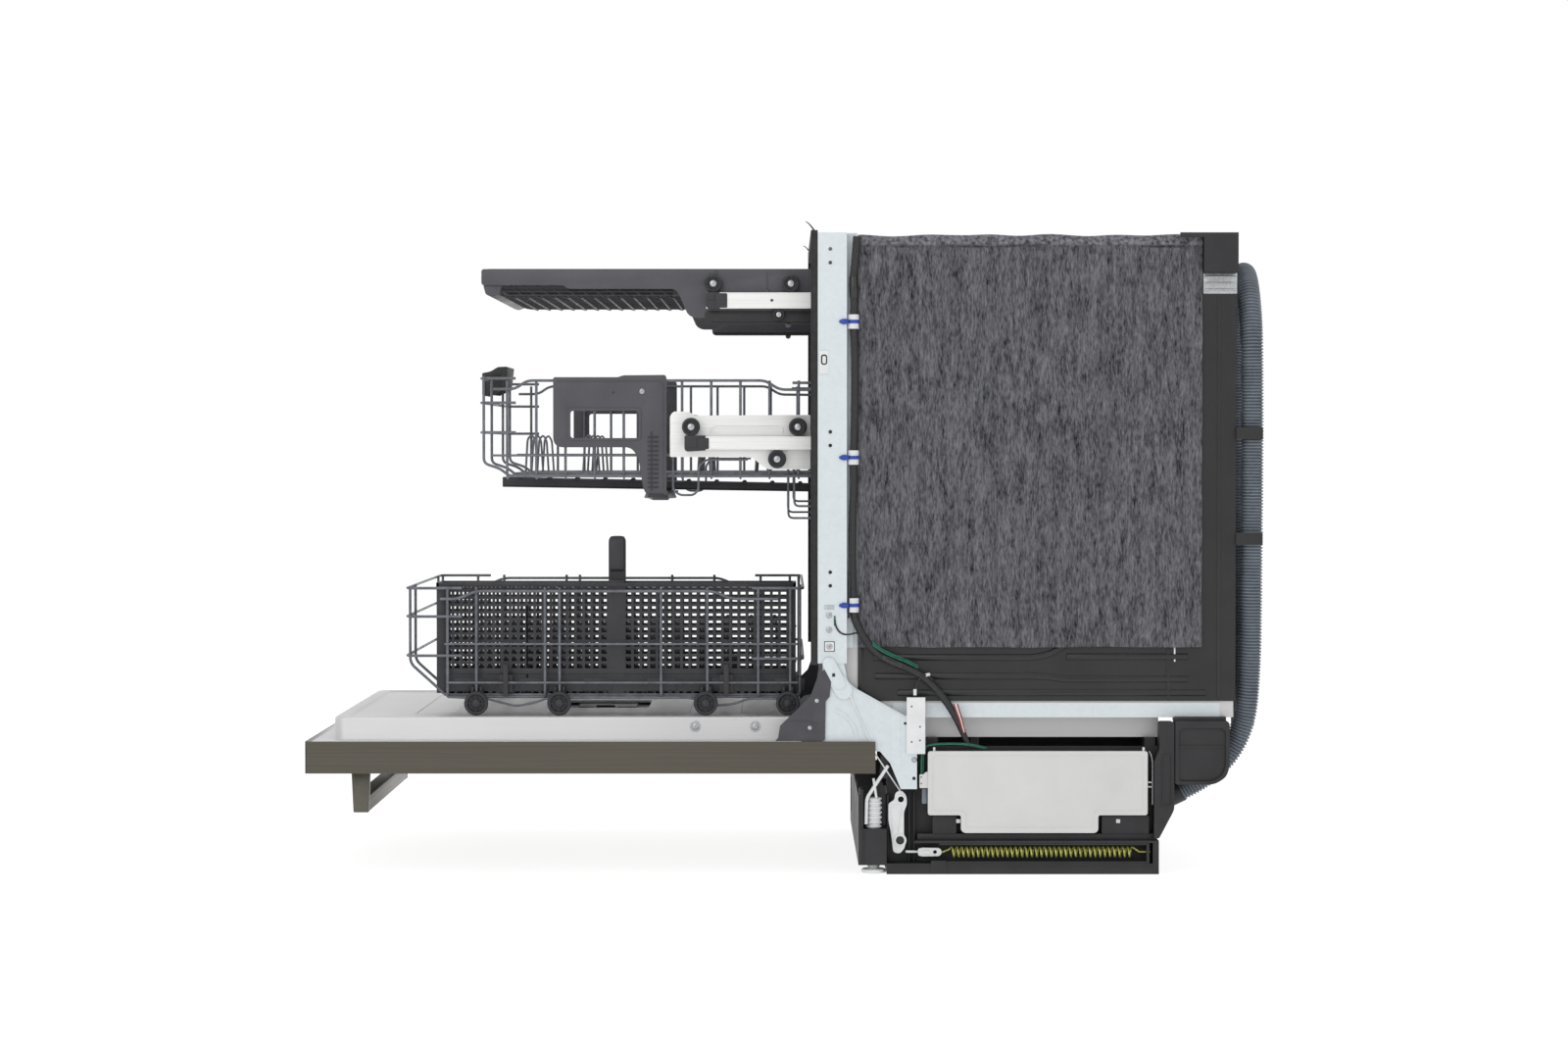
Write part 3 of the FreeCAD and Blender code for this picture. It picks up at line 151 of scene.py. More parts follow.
def addTurned(bm, centre, axis, shape, sides=40):
    # a turned piece: shape is a closed loop of (distance along the axis, radius)
    ahead = Vector(axis).normalized()
    u, v = frameAlong(ahead)
    rings = []
    for i in range(sides):
        a = 2 * math.pi * i / sides
        out = u * math.cos(a) + v * math.sin(a)
        rings.append([bm.verts.new(Vector(centre) + ahead * d + out * r) for d, r in shape])
    for i in range(sides):
        near, far = rings[i], rings[(i + 1) % sides]
        for k in range(len(shape)):
            n = (k + 1) % len(shape)
            corner = [near[k], near[n], far[n], far[k]]
            if (corner[0].co - corner[3].co).length < 1e-6:
                corner = corner[:3]
            elif (corner[1].co - corner[2].co).length < 1e-6:
                corner = [corner[0], corner[1], corner[3]]
            bm.faces.new(corner)


def addAlong(bm, points, radii, sides=10, capped=True):
    # a tube through points; radii is one number or one for each point
    points = [Vector(p) for p in points]
    radii = radii if isinstance(radii, (list, tuple)) else [radii] * len(points)
    tangent = (points[1] - points[0]).normalized()
    u, v = frameAlong(tangent)
    rings = []
    for i, p in enumerate(points):
        before = points[max(i - 1, 0)]
        after = points[min(i + 1, len(points) - 1)]
        new = (after - before).normalized()
        turn = tangent.rotation_difference(new)
        u, v, tangent = turn @ u, turn @ v, new
        rings.append([bm.verts.new(p + (u * math.cos(a) + v * math.sin(a)) * radii[i])
                      for a in [2 * math.pi * k / sides for k in range(sides)]])
    for near, far in zip(rings, rings[1:]):
        for k in range(sides):
            n = (k + 1) % sides
            bm.faces.new([near[k], near[n], far[n], far[k]])
    if capped:
        bm.faces.new(rings[0][::-1])
        bm.faces.new(rings[-1])


def bentWire(corners, radius=7.0, steps=4):
    # a bent steel wire: the corners of its route, each turned with a small bend
    corners = [Vector(c) for c in corners]
    line = [corners[0]]
    for before, corner, after in zip(corners, corners[1:], corners[2:]):
        back, ahead = before - corner, after - corner
        reach = min(radius, back.length * 0.45, ahead.length * 0.45)
        first, last = corner + back.normalized() * reach, corner + ahead.normalized() * reach
        for k in range(steps + 1):
            t = k / steps
            line.append(first.lerp(corner, t).lerp(corner.lerp(last, t), t))
    line.append(corners[-1])
    return line


def piece(name, bm, finish, body, replaces=(), bevel=0.0, smooth=True, mirror=False,
          segments=2):
    # bm is in millimetres; mirror adds the same shape on the left side
    if mirror:
        double = bmesh.ops.duplicate(bm, geom=bm.verts[:] + bm.edges[:] + bm.faces[:])["geom"]
        fresh = [g for g in double if isinstance(g, bmesh.types.BMVert)]
        for v in fresh:
            v.co.x = -v.co.x
        bmesh.ops.reverse_faces(bm, faces=[g for g in double
                                           if isinstance(g, bmesh.types.BMFace)])
    bmesh.ops.recalc_face_normals(bm, faces=bm.faces[:])
    bmesh.ops.scale(bm, vec=(mm, mm, mm), verts=bm.verts[:])
    mesh = bpy.data.meshes.new(name)
    bm.to_mesh(mesh)
    bm.free()
    made = bpy.data.objects.new(name, mesh)
    bpy.context.scene.collection.objects.link(made)
    return dress(made, finish, body, replaces, bevel, smooth, segments)


def dress(made, finish, body, replaces=(), bevel=0.0, smooth=True, segments=2):
    made.data.materials.clear()
    made.data.materials.append(finish)
    if smooth and made.type == "MESH":
        made.data.shade_smooth()
        roundEdges(made, bevel, segments)
    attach(made, body)
    if replaces:
        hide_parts(*replaces)
    return made


def roundEdges(made, bevel, segments=2):
    if bevel > 0:
        edge = made.modifiers.new("edges", "BEVEL")
        edge.width = bevel * mm
        edge.segments = segments
        edge.limit_method = "ANGLE"
        edge.angle_limit = math.radians(35)
        edge.harden_normals = False
    split = made.modifiers.new("creases", "EDGE_SPLIT")
    split.split_angle = math.radians(38)


def wires(name, paths, thickness, finish, body, replaces=()):
    # round wires as one curve of many splines; paths are in millimetres
    curve = bpy.data.curves.new(name, "CURVE")
    curve.dimensions = "3D"
    curve.bevel_depth = thickness / 2 * mm
    curve.bevel_resolution = 2
    curve.use_fill_caps = True
    for path in paths:
        line = curve.splines.new("POLY")
        line.points.add(len(path) - 1)
        for point, place in zip(line.points, path):
            point.co = (place[0] * mm, place[1] * mm, place[2] * mm, 1.0)
    made = bpy.data.objects.new(name, curve)
    bpy.context.scene.collection.objects.link(made)
    return dress(made, finish, body, replaces)


def linear(code):
    # a colour as read off a paint card, such as 5b574e
    parts = [int(code[i:i + 2], 16) / 255 for i in (0, 2, 4)]
    return [v / 12.92 if v <= 0.04045 else ((v + 0.055) / 1.055) ** 2.4 for v in parts] + [1.0]


def finishOf(name, light, dark, grain=(60, 60, 60), rough=(0.4, 0.5), metal=0.0, bump=0.0,
             bumpGrain=(300, 300, 300), contrast=(0.35, 0.65), detail=4.0, coat=0.0,
             sheen=0.0, specular=0.5, pattern="noise", anisotropic=0.0, depth=0.3, fine=None,
             share=0.5):
    made = bpy.data.materials.new(name)
    made.use_nodes = True
    tree = made.node_tree
    shader = tree.nodes["Principled BSDF"]
    place = tree.nodes.new("ShaderNodeTexCoord")

    def mapped(scale):
        stretch = tree.nodes.new("ShaderNodeMapping")
        stretch.inputs["Scale"].default_value = scale
        tree.links.new(place.outputs["Object"], stretch.inputs["Vector"])
        return stretch.outputs["Vector"]

    def noise(scale, octaves):
        made = tree.nodes.new("ShaderNodeTexNoise")
        made.inputs["Scale"].default_value = 1.0
        made.inputs["Detail"].default_value = octaves
        made.inputs["Roughness"].default_value = 0.62
        tree.links.new(mapped(scale), made.inputs["Vector"])
        return made.outputs["Fac"]

    def cells(scale):
        made = tree.nodes.new("ShaderNodeTexVoronoi")
        made.inputs["Scale"].default_value = 1.0
        tree.links.new(mapped(scale), made.inputs["Vector"])
        return made.outputs["Color"]

    tone = noise(grain, detail) if pattern == "noise" else cells(grain)
    if fine:  # a finer grain laid over the broad one
        blend = tree.nodes.new("ShaderNodeMix")
        blend.inputs["Factor"].default_value = share
        tree.links.new(tone, blend.inputs["A"])
        tree.links.new(noise(fine, 6.0), blend.inputs["B"])
        tone = blend.outputs["Result"]
    ramp = tree.nodes.new("ShaderNodeValToRGB")
    ramp.color_ramp.elements[0].position = contrast[0]
    ramp.color_ramp.elements[1].position = contrast[1]
    ramp.color_ramp.elements[0].color = linear(dark)
    ramp.color_ramp.elements[1].color = linear(light)
    tree.links.new(tone, ramp.inputs["Fac"])
    tree.links.new(ramp.outputs["Color"], shader.inputs["Base Color"])
    spread = tree.nodes.new("ShaderNodeMapRange")
    spread.inputs["From Min"].default_value = 0.3
    spread.inputs["From Max"].default_value = 0.7
    spread.inputs["To Min"].default_value = rough[0]
    spread.inputs["To Max"].default_value = rough[1]
    tree.links.new(noise([g * 0.7 for g in grain], 3.0), spread.inputs["Value"])
    tree.links.new(spread.outputs["Result"], shader.inputs["Roughness"])
    shader.inputs["Metallic"].default_value = metal
    shader.inputs["Coat Weight"].default_value = coat
    shader.inputs["Sheen Weight"].default_value = sheen
    shader.inputs["Specular IOR Level"].default_value = specular
    shader.inputs["Anisotropic"].default_value = anisotropic
    if bump > 0:
        relief = tree.nodes.new("ShaderNodeBump")
        relief.inputs["Strength"].default_value = bump
        relief.inputs["Distance"].default_value = depth * mm
        tree.links.new(noise(bumpGrain, 5.0), relief.inputs["Height"])
        tree.links.new(relief.outputs["Normal"], shader.inputs["Normal"])
    return made


def lightenFold(made, low, high, tone):
    # above a height (in metres) the fibres lie loose and look paler
    tree = made.node_tree
    shader = tree.nodes["Principled BSDF"]
    base = shader.inputs["Base Color"].links[0].from_socket
    where, split = tree.nodes.new("ShaderNodeTexCoord"), tree.nodes.new("ShaderNodeSeparateXYZ")
    rise, loose = tree.nodes.new("ShaderNodeMapRange"), tree.nodes.new("ShaderNodeTexNoise")
    tree.links.new(where.outputs["Object"], split.inputs["Vector"])
    tree.links.new(where.outputs["Object"], loose.inputs["Vector"])
    loose.inputs["Scale"].default_value = 190.0
    loose.inputs["Detail"].default_value = 8.0
    tree.links.new(split.outputs["Z"], rise.inputs["Value"])
    rise.inputs["From Min"].default_value = low
    rise.inputs["From Max"].default_value = high
    rise.inputs["To Max"].default_value = 0.85
    ramp = tree.nodes.new("ShaderNodeValToRGB")
    ramp.color_ramp.elements[0].position = 0.35
    ramp.color_ramp.elements[1].position = 0.65
    ramp.color_ramp.elements[0].color = linear("3a3a3d")
    ramp.color_ramp.elements[1].color = linear(tone)
    tree.links.new(loose.outputs["Fac"], ramp.inputs["Fac"])
    mix = tree.nodes.new("ShaderNodeMix")
    mix.data_type = "RGBA"
    tree.links.new(rise.outputs["Result"], mix.inputs["Factor"])
    tree.links.new(base, mix.inputs[6])
    tree.links.new(ramp.outputs["Color"], mix.inputs[7])
    tree.links.new(mix.outputs[2], shader.inputs["Base Color"])


print("finishes")
feltFibre = finishOf("feltFibre", "7b7b80", "1d1d20", grain=(120, 120, 26), rough=(0.85, 0.98),
                     bump=0.8, bumpGrain=(900, 900, 200), contrast=(0.36, 0.66), detail=9.0,
                     sheen=0.08, specular=0.05, depth=0.9, fine=(460, 460, 110), share=0.6)
lightenFold(feltFibre, 0.8335, 0.8365, "85858a")
bronzeSteel = finishOf("bronzeSteel", "5c584f", "504c44", grain=(420, 3, 420),
                       rough=(0.36, 0.48), metal=0.55, bump=0.1, bumpGrain=(3000, 12, 3000),
                       depth=0.05, fine=(2600, 8, 2600))
handleSteel = finishOf("handleSteel", "66635a", "57544c", grain=(3, 420, 420),
                       rough=(0.36, 0.46), metal=0.5, bump=0.1, bumpGrain=(12, 3000, 3000),
                       depth=0.05, fine=(8, 2600, 2600))
tubSteel = finishOf("tubSteel", "d3d2d2", "c2c1c1", grain=(3, 1.5, 3), rough=(0.34, 0.42),
                    metal=0.3, bump=0.05, bumpGrain=(1500, 9, 1500), depth=0.03,
                    fine=(900, 7, 900), share=0.3, contrast=(0.3, 0.7))
galvanised = finishOf("galvanised", "d6dde0", "c9d1d5", grain=(210, 210, 210),
                      rough=(0.36, 0.5), metal=0.12, bump=0.05, pattern="cells",
                      contrast=(0.1, 0.9), depth=0.1, fine=(14, 14, 14), share=0.6)
zincSteel = finishOf("zincSteel", "bfc1c3", "9ea1a4", grain=(300, 300, 300),
                     rough=(0.24, 0.34), metal=0.8, fine=(900, 900, 900))
railSteel = finishOf("railSteel", "efefed", "e0e0de", grain=(300, 6, 300), rough=(0.3, 0.4),
                     metal=0.1, bump=0.06, bumpGrain=(2000, 20, 2000), depth=0.04,
                     fine=(900, 12, 900))
blackMoulding = finishOf("blackMoulding", "2c2c2e", "222224", grain=(24, 24, 24),
                         rough=(0.42, 0.6), bump=0.25, bumpGrain=(2600, 2600, 2600), depth=0.06,
                         fine=(1400, 1400, 1400), share=0.4, specular=0.4)
mastic = finishOf("mastic", "222224", "151517", grain=(14, 14, 14), rough=(0.3, 0.5),
                  bump=0.4, bumpGrain=(160, 160, 160), detail=6.0, depth=0.3,
                  fine=(500, 500, 500), share=0.3)
sealRubber = finishOf("sealRubber", "242425", "18181a", grain=(120, 120, 120),
                      rough=(0.5, 0.7), bump=0.2, bumpGrain=(1400, 1400, 1400), depth=0.08)
rackMoulding = finishOf("rackMoulding", "4f4f54", "46464b", grain=(20, 20, 20),
                        rough=(0.36, 0.48), bump=0.2, bumpGrain=(2400, 2400, 2400), depth=0.05,
                        fine=(1300, 1300, 1300), share=0.4, specular=0.4)
binMoulding = finishOf("binMoulding", "353539", "2a2a2e", grain=(30, 30, 30),
                       rough=(0.4, 0.55), bump=0.2, bumpGrain=(2400, 2400, 2400), depth=0.05,
                       fine=(1300, 1300, 1300), share=0.4, specular=0.4)
wireCoat = finishOf("wireCoat", "6b6e75", "53565d", grain=(90, 90, 90), rough=(0.26, 0.4),
                    bump=0.15, bumpGrain=(900, 900, 900), depth=0.08)
wheelMoulding = finishOf("wheelMoulding", "303034", "222226", grain=(150, 150, 150),
                         rough=(0.35, 0.5), bump=0.15, bumpGrain=(2000, 2000, 2000), depth=0.05,
                         specular=0.4)
whiteMoulding = finishOf("whiteMoulding", "e3e4e4", "d2d4d5", grain=(30, 30, 30),
                         rough=(0.3, 0.45), bump=0.12, bumpGrain=(1800, 1800, 1800), depth=0.04,
                         fine=(700, 700, 700), share=0.3)
coverMoulding = finishOf("coverMoulding", "d0d0cf", "c7c7c6", grain=(12, 12, 12),
                         rough=(0.4, 0.52), bump=0.25, bumpGrain=(2800, 2800, 2800), depth=0.05,
                         fine=(1500, 1500, 1500), share=0.35)
armSteel = finishOf("armSteel", "48474c", "3c3b40", grain=(40, 40, 40), rough=(0.36, 0.5),
                    metal=0.1, bump=0.12, bumpGrain=(900, 900, 900), depth=0.05,
                    fine=(900, 900, 900), share=0.3)
hosePlastic = finishOf("hosePlastic", "757c85", "585f68", grain=(26, 26, 26),
                       rough=(0.34, 0.5), bump=0.15, bumpGrain=(700, 700, 700), depth=0.08,
                       fine=(500, 500, 500), share=0.3)
cableSleeve = finishOf("cableSleeve", "2a2a2c", "161618", grain=(300, 300, 900),
                       rough=(0.4, 0.62), bump=0.5, bumpGrain=(700, 700, 1800), depth=0.3)
greenWire = finishOf("greenWire", "146850", "0e4c3a", grain=(200, 200, 200), rough=(0.35, 0.45))
blueTie = finishOf("blueTie", "2443a6", "173788", grain=(200, 200, 200), rough=(0.3, 0.42))
redWire = finishOf("redWire", "a83a2c", "7d241b", grain=(200, 200, 200), rough=(0.35, 0.45))
springCoat = finishOf("springCoat", "d6d57a", "8f9032", grain=(400, 400, 400),
                      rough=(0.25, 0.4), metal=0.3)
stripBlack = finishOf("stripBlack", "1b1b1c", "101011", grain=(30, 30, 30), rough=(0.12, 0.22),
                      coat=0.3)
pumpMoulding = finishOf("pumpMoulding", "7f8286", "6b6e72", grain=(50, 50, 50),
                        rough=(0.4, 0.55), bump=0.15, bumpGrain=(2000, 2000, 2000), depth=0.05)
floorPaint = finishOf("floorPaint", "8a8a8a", "868686", grain=(2, 2, 2), rough=(0.8, 0.9))


def buildRoom():
    size = room["floorHalf"]
    bm = bmesh.new()
    ring = [(-size, size), (size, size), (size, -size), (-size, -size)]
    bm.faces.new([bm.verts.new((x, y, -0.0006)) for x, y in ring])
    for face in bm.faces:
        if face.normal.z < 0:
            face.normal_flip()
    mesh = bpy.data.meshes.new("studioFloor")
    bm.to_mesh(mesh)
    bm.free()
    ground = bpy.data.objects.new("studioFloor", mesh)
    bpy.context.scene.collection.objects.link(ground)
    glow = floorPaint.node_tree.nodes["Principled BSDF"]
    glow.inputs["Emission Color"].default_value = (1.0, 1.0, 1.0, 1.0)
    glow.inputs["Emission Strength"].default_value = room["floorGlow"]
    mesh.materials.append(floorPaint)
    sky = bpy.data.worlds.new("softSky")
    bpy.context.scene.world = sky
    sky.use_nodes = True
    shade = sky.node_tree.nodes["Background"]
    shade.inputs["Color"].default_value = (1.0, 1.0, 1.0, 1.0)
    # the wall behind the machine is brightest, the rest of the studio is softer
    links, new = sky.node_tree.links, sky.node_tree.nodes.new
    where, split, fade = (new("ShaderNodeTexCoord"), new("ShaderNodeSeparateXYZ"),
                          new("ShaderNodeMapRange"))
    links.new(where.outputs["Generated"], split.inputs["Vector"])
    links.new(split.outputs["X"], fade.inputs["Value"])
    for socket, amount in (("From Min", -0.88), ("From Max", -0.6), ("To Min", room["skyStrength"]),
                           ("To Max", room["sideSky"])):
        fade.inputs[socket].default_value = amount
    links.new(fade.outputs["Result"], shade.inputs["Strength"])
    for name, (spot, width, power) in lamps.items():
        lamp = bpy.data.lights.new(name, "AREA")
        lamp.shape = "SQUARE"
        lamp.size = width
        lamp.energy = power
        holder = bpy.data.objects.new(name, lamp)
        bpy.context.scene.collection.objects.link(holder)
        holder.location = spot
        aim = Vector((0, 0, 0.4)) - Vector(spot)
        holder.rotation_euler = aim.to_track_quat("-Z", "Y").to_euler()


buildRoom()

print("finishes on the CAD pieces")
plainFinish = {
    "base_frame": (blackMoulding, 1.2), "inlet_valve": (whiteMoulding, 1.5),
    "drain_pump": (pumpMoulding, 2.0), "tub": (tubSteel, 0.0), "tub_frame": (galvanised, 0.0),
    "door_gasket": (sealRubber, 1.5), "sound_mat": (mastic, 2.0),
    "rear_corner_brackets": (blackMoulding, 3.0), "hinge_brackets": (galvanised, 0.3),
    "harness_guide": (whiteMoulding, 2.0), "control_housing": (blackMoulding, 1.0),
    "sump": (blackMoulding, 2.0), "circulation_pump": (pumpMoulding, 3.0),
    "feed_tube": (rackMoulding, 2.0), "rail_guides": (whiteMoulding, 0.6),
    "hose_clips": (blackMoulding, 1.5), "door_skin": (bronzeSteel, 1.4),
    "control_strip": (stripBlack, 0.6), "door_latch": (blackMoulding, 1.5),
    "hinge_arms": (armSteel, 0.5), "dispenser_body": (rackMoulding, 1.2),
    "dispenser_lid": (rackMoulding, 1.0), "rinse_cap": (blackMoulding, 1.0),
    "middle_rails": (railSteel, 0.6), "third_rails": (railSteel, 0.8),
    "tub_filter": (rackMoulding, 0.8),
}
for node, (finish, edge) in plainFinish.items():
    owner = nodes[node]
    owner.data.materials.clear()
    owner.data.materials.append(finish)
    if edge > 0:
        roundEdges(owner, edge)


def roundedOutline(corners, radius, steps=5):
    # the same closed outline with every corner rounded; radius is one number or one per corner
    radii = radius if isinstance(radius, (list, tuple)) else [radius] * len(corners)
    loop = []
    for i, corner in enumerate(corners):
        before, after = Vector(corners[i - 1]), Vector(corners[(i + 1) % len(corners)])
        corner = Vector(corner)
        back, ahead = before - corner, after - corner
        reach = min(radii[i], back.length * 0.49, ahead.length * 0.49)
        if reach < 0.05:
            loop.append(tuple(corner))
            continue
        first, last = corner + back.normalized() * reach, corner + ahead.normalized() * reach
        for k in range(steps + 1):
            t = k / steps
            loop.append(tuple(first.lerp(corner, t).lerp(corner.lerp(last, t), t)))
    return loop


def circle(centre, radius, steps=24):
    return [(centre[0] + radius * math.cos(2 * math.pi * k / steps),
             centre[1] + radius * math.sin(2 * math.pi * k / steps)) for k in range(steps)]


def smoothRoute(name, route, step):
    # points at an even step along the smooth spline through a route
    curve = bpy.data.curves.new(name, "CURVE")
    curve.dimensions = "3D"
    line = curve.splines.new("NURBS")
    line.points.add(len(route) - 1)
    for point, place in zip(line.points, route):
        point.co = (place[0], place[1], place[2], 1.0)
    line.order_u = 3
    line.use_endpoint_u = True
    line.resolution_u = 24
    holder = bpy.data.objects.new(name, curve)
    shape = bpy.data.meshes.new_from_object(holder)
    points = [v.co.copy() for v in shape.vertices]
    bpy.data.objects.remove(holder)
    even = [points[0]]
    travelled = 0.0
    for a, b in zip(points, points[1:]):
        length = (b - a).length
        while travelled + length >= step:
            share = (step - travelled) / length
            a = a.lerp(b, share)
            length = (b - a).length
            even.append(a.copy())
            travelled = 0.0
        travelled += length
    even.append(points[-1])
    return even


print("felt blanket")
felt = {"front": 97.0, "rear": 554.0, "bottom": 301.0, "outer": 286.6, "top": 849.6,
        "thickness": 5.6, "corner": 13.0, "ripple": 1.5, "seamDrop": 15.5, "stepsLong": 76,
        "stepsSide": 84, "stepsHem": 30, "stepsTop": 30, "strands": 170, "seed": 41}


def feltBlanket():
    # the blanket hangs over the tub like a saddle; its path runs up one side and down the other
    half, top, low, r = felt["outer"], felt["top"], felt["bottom"], felt["corner"]
    profile = []
    over, side, hem = felt["stepsTop"], felt["stepsSide"], felt["stepsHem"]
    heights = [low + (top - 40 - low) * i / side for i in range(side)]
    heights += [top - 40 + (40 - r) * i / hem for i in range(hem)]  # denser by the fold
    rise = len(heights)
    for z in heights:
        profile.append((-half, z, (-1, 0)))
    for i in range(9):
        a = math.radians(180 - 90 * i / 8)
        profile.append((-half + r + r * math.cos(a), top - r + r * math.sin(a),
                        (math.cos(a), math.sin(a))))
    for i in range(1, over):
        profile.append((-half + r + (2 * half - 2 * r) * i / over, top, (0, 1)))
    profile += [(-x, z, (-n[0], n[1])) for x, z, n in profile[:rise + 9][::-1]]
    bm = bmesh.new()
    rows = []
    for j in range(felt["stepsLong"] + 1):
        t = j / felt["stepsLong"]
        row = []
        for k, (x, z, out) in enumerate(profile):
            y = felt["front"] + (felt["rear"] - felt["front"]) * t
            spot = Vector((x * 0.012, y * 0.012, z * 0.012))
            wave = noise.noise(spot * 0.9) * felt["ripple"]
            wave += noise.noise(spot * 2.6 + Vector((7, 3, 1))) * felt["ripple"] * 0.4
            if out[1] > 0.5:  # the top lies in soft waves
                wave += 0.9 * math.sin(y * 0.075) * out[1] - 0.6
            hang = max(0.0, 1.0 - (z - low) / 60.0)
            wave -= 0.25
            seam = top - felt["seamDrop"] + 3.0 * noise.noise(Vector((y * 0.016, 3.0, x)))
            gap = max(0.0, min(1.0, 0.5 + 2.2 * noise.noise(Vector((y * 0.022, 8.0, x)))))
            wave -= (0.8 + 3.4 * gap) * math.exp(-((z - seam) / 1.7) ** 2) * (1 - out[1])
            wave += 0.7 * (z > seam) * (1 - out[1])
            edge = noise.noise(Vector((z * 0.02, x * 0.01, 4.0 * (j > 30)))) * 1.2
            if 0 < j < felt["stepsLong"]:
                edge = 0.0
            inward = max(edge, 0) * (1 if j == 0 else -1)
            lower = noise.noise(Vector((y * 0.02, 9.0, x))) * 1.1 * hang
            if k not in (0, len(profile) - 1):
                lower = 0
            row.append(bm.verts.new((x + out[0] * min(wave, 1.2), y + inward,
                                     z + out[1] * wave + lower)))
        rows.append(row)
    for a, b in zip(rows, rows[1:]):
        for k in range(len(profile) - 1):
            bm.faces.new([a[k], b[k], b[k + 1], a[k + 1]])
    made = piece("feltBlanket", bm, feltFibre, "root", ["felt_blanket"], smooth=False)
    thick = made.modifiers.new("wadding", "SOLIDIFY")
    thick.thickness = felt["thickness"] * mm
    thick.offset = -1.0
    rim = made.modifiers.new("softEdge", "BEVEL")
    rim.width = 1.4 * mm
    rim.segments = 2
    rim.limit_method = "ANGLE"
    rim.angle_limit = math.radians(60)
    made.data.shade_smooth()
    # loose fibres stand off the cut edges
    rng = random.Random(felt["seed"])
    strands = []
    for sign in (1, -1):
        for k in range(felt["strands"]):
            y = rng.uniform(felt["front"] + 3, felt["rear"] - 3)
            x = sign * (felt["outer"] - rng.uniform(0.6, 4.5))
            start = Vector((x, y, felt["bottom"] + 2.0))
            strands.append([start, start + Vector((rng.uniform(-0.6, 0.4) * sign,
                                                   rng.uniform(-2.5, 2.5),
                                                   -rng.uniform(2.5, 5.0)))])
    wires("feltFibres", strands, 0.22, feltFibre, "root")


feltBlanket()

print("sound mat")
mat = {"side": 280.5, "beadWidth": 9.0}


def matBeads():
    # pressed beads show in the strip of mat below the blanket
    beads = [
        [(118, 287), (330, 287), (352, 291), (376, 306), (398, 309), (536, 309)],
        [(120, 262), (345, 262), (372, 258), (536, 258)],
        [(375, 288), (536, 288)],
        [(150, 240), (560, 240)],
    ]
    bm = bmesh.new()
    for bead in beads:
        path = bentWire([(mat["side"], y, z) for y, z in bead], 22.0, 8)
        addAlong(bm, path, mat["beadWidth"] / 2, 12)
    for v in bm.verts:
        v.co.x = mat["side"] - 0.3 + max(0.0, v.co.x - mat["side"]) * 0.6
    addBox(bm, (mat["side"] - 0.2, 97.8, 232.0), (mat["side"] + 1.1, 104.5, 300.0))
    for y, top in ((508.0, 300.0), (575.0, 766.0)):
        addBox(bm, (mat["side"] - 0.2, y, 233.0), (mat["side"] + 1.3, y + 4.0, top))
    piece("matBeads", bm, mastic, "root", bevel=0.5, mirror=True)
    back = bmesh.new()
    rear = nodeBox("sound_mat")[1][1]
    for half, low, high in ((200.0, 300.0, 760.0), (120.0, 380.0, 680.0)):
        loop = roundedOutline([(-half, low), (half, low), (half, high), (-half, high)], 40, 9)
        addAlong(back, [(x, rear, z) for x, z in loop + [loop[0]]], 5.0, 12, capped=False)
    for v in back.verts:
        v.co.y = rear - 0.3 + max(0.0, v.co.y - rear) * 0.5
    piece("rearMatBeads", back, mastic, "root")
    tab = bmesh.new()
    addSlab(tab, roundedOutline([(519.5, 281.5), (519.5, 301.5), (517.5, 301.5), (517.5, 281.5)],
                                0.6), "x", mat["side"] + 0.2, mat["side"] + 1.2)
    piece("matLabelTab", tab, whiteMoulding, "root", bevel=0.1)
    strap = bmesh.new()
    addSlab(strap, [(555.5, 770.5), (600.4, 770.5), (600.4, 798.0), (555.5, 798.0)], "x",
            mat["side"] + 0.1, mat["side"] + 1.3)
    for z in (776.0, 784.5, 793.0):
        addAlong(strap, [(mat["side"] + 1.2, 556.5, z), (mat["side"] + 1.2, 599.5, z)], 1.5, 10)
    piece("rearStrapEnds", strap, zincSteel, "root", bevel=0.3, mirror=True)


matBeads()

print("door")
door = {"screwRadius": 4.6, "linerHalf": 272.0, "linerFront": -601.8, "linerRear": 21.6,
        "linerLow": 176.0, "linerTop": 207.6, "linerCorner": 17.0, "gripHalf": 246.0}


def screwHead(bm, centre, radius, height=1.8, cross=True):
    # a pan head with a cross recess, on a face that looks towards +X
    x, y, z = centre
    addTurned(bm, centre, (1, 0, 0), [(0, 0.0), (0, radius), (height * 0.45, radius),
                                      (height * 0.85, radius * 0.78), (height, radius * 0.45),
                                      (height, 0.0)], 28)
    if cross:
        for a, b in ((0.62, 0.14), (0.14, 0.62)):
            addBox(bm, (x + height - 0.1, y - radius * a, z - radius * b),
                   (x + height + 0.18, y + radius * a, z + radius * b))


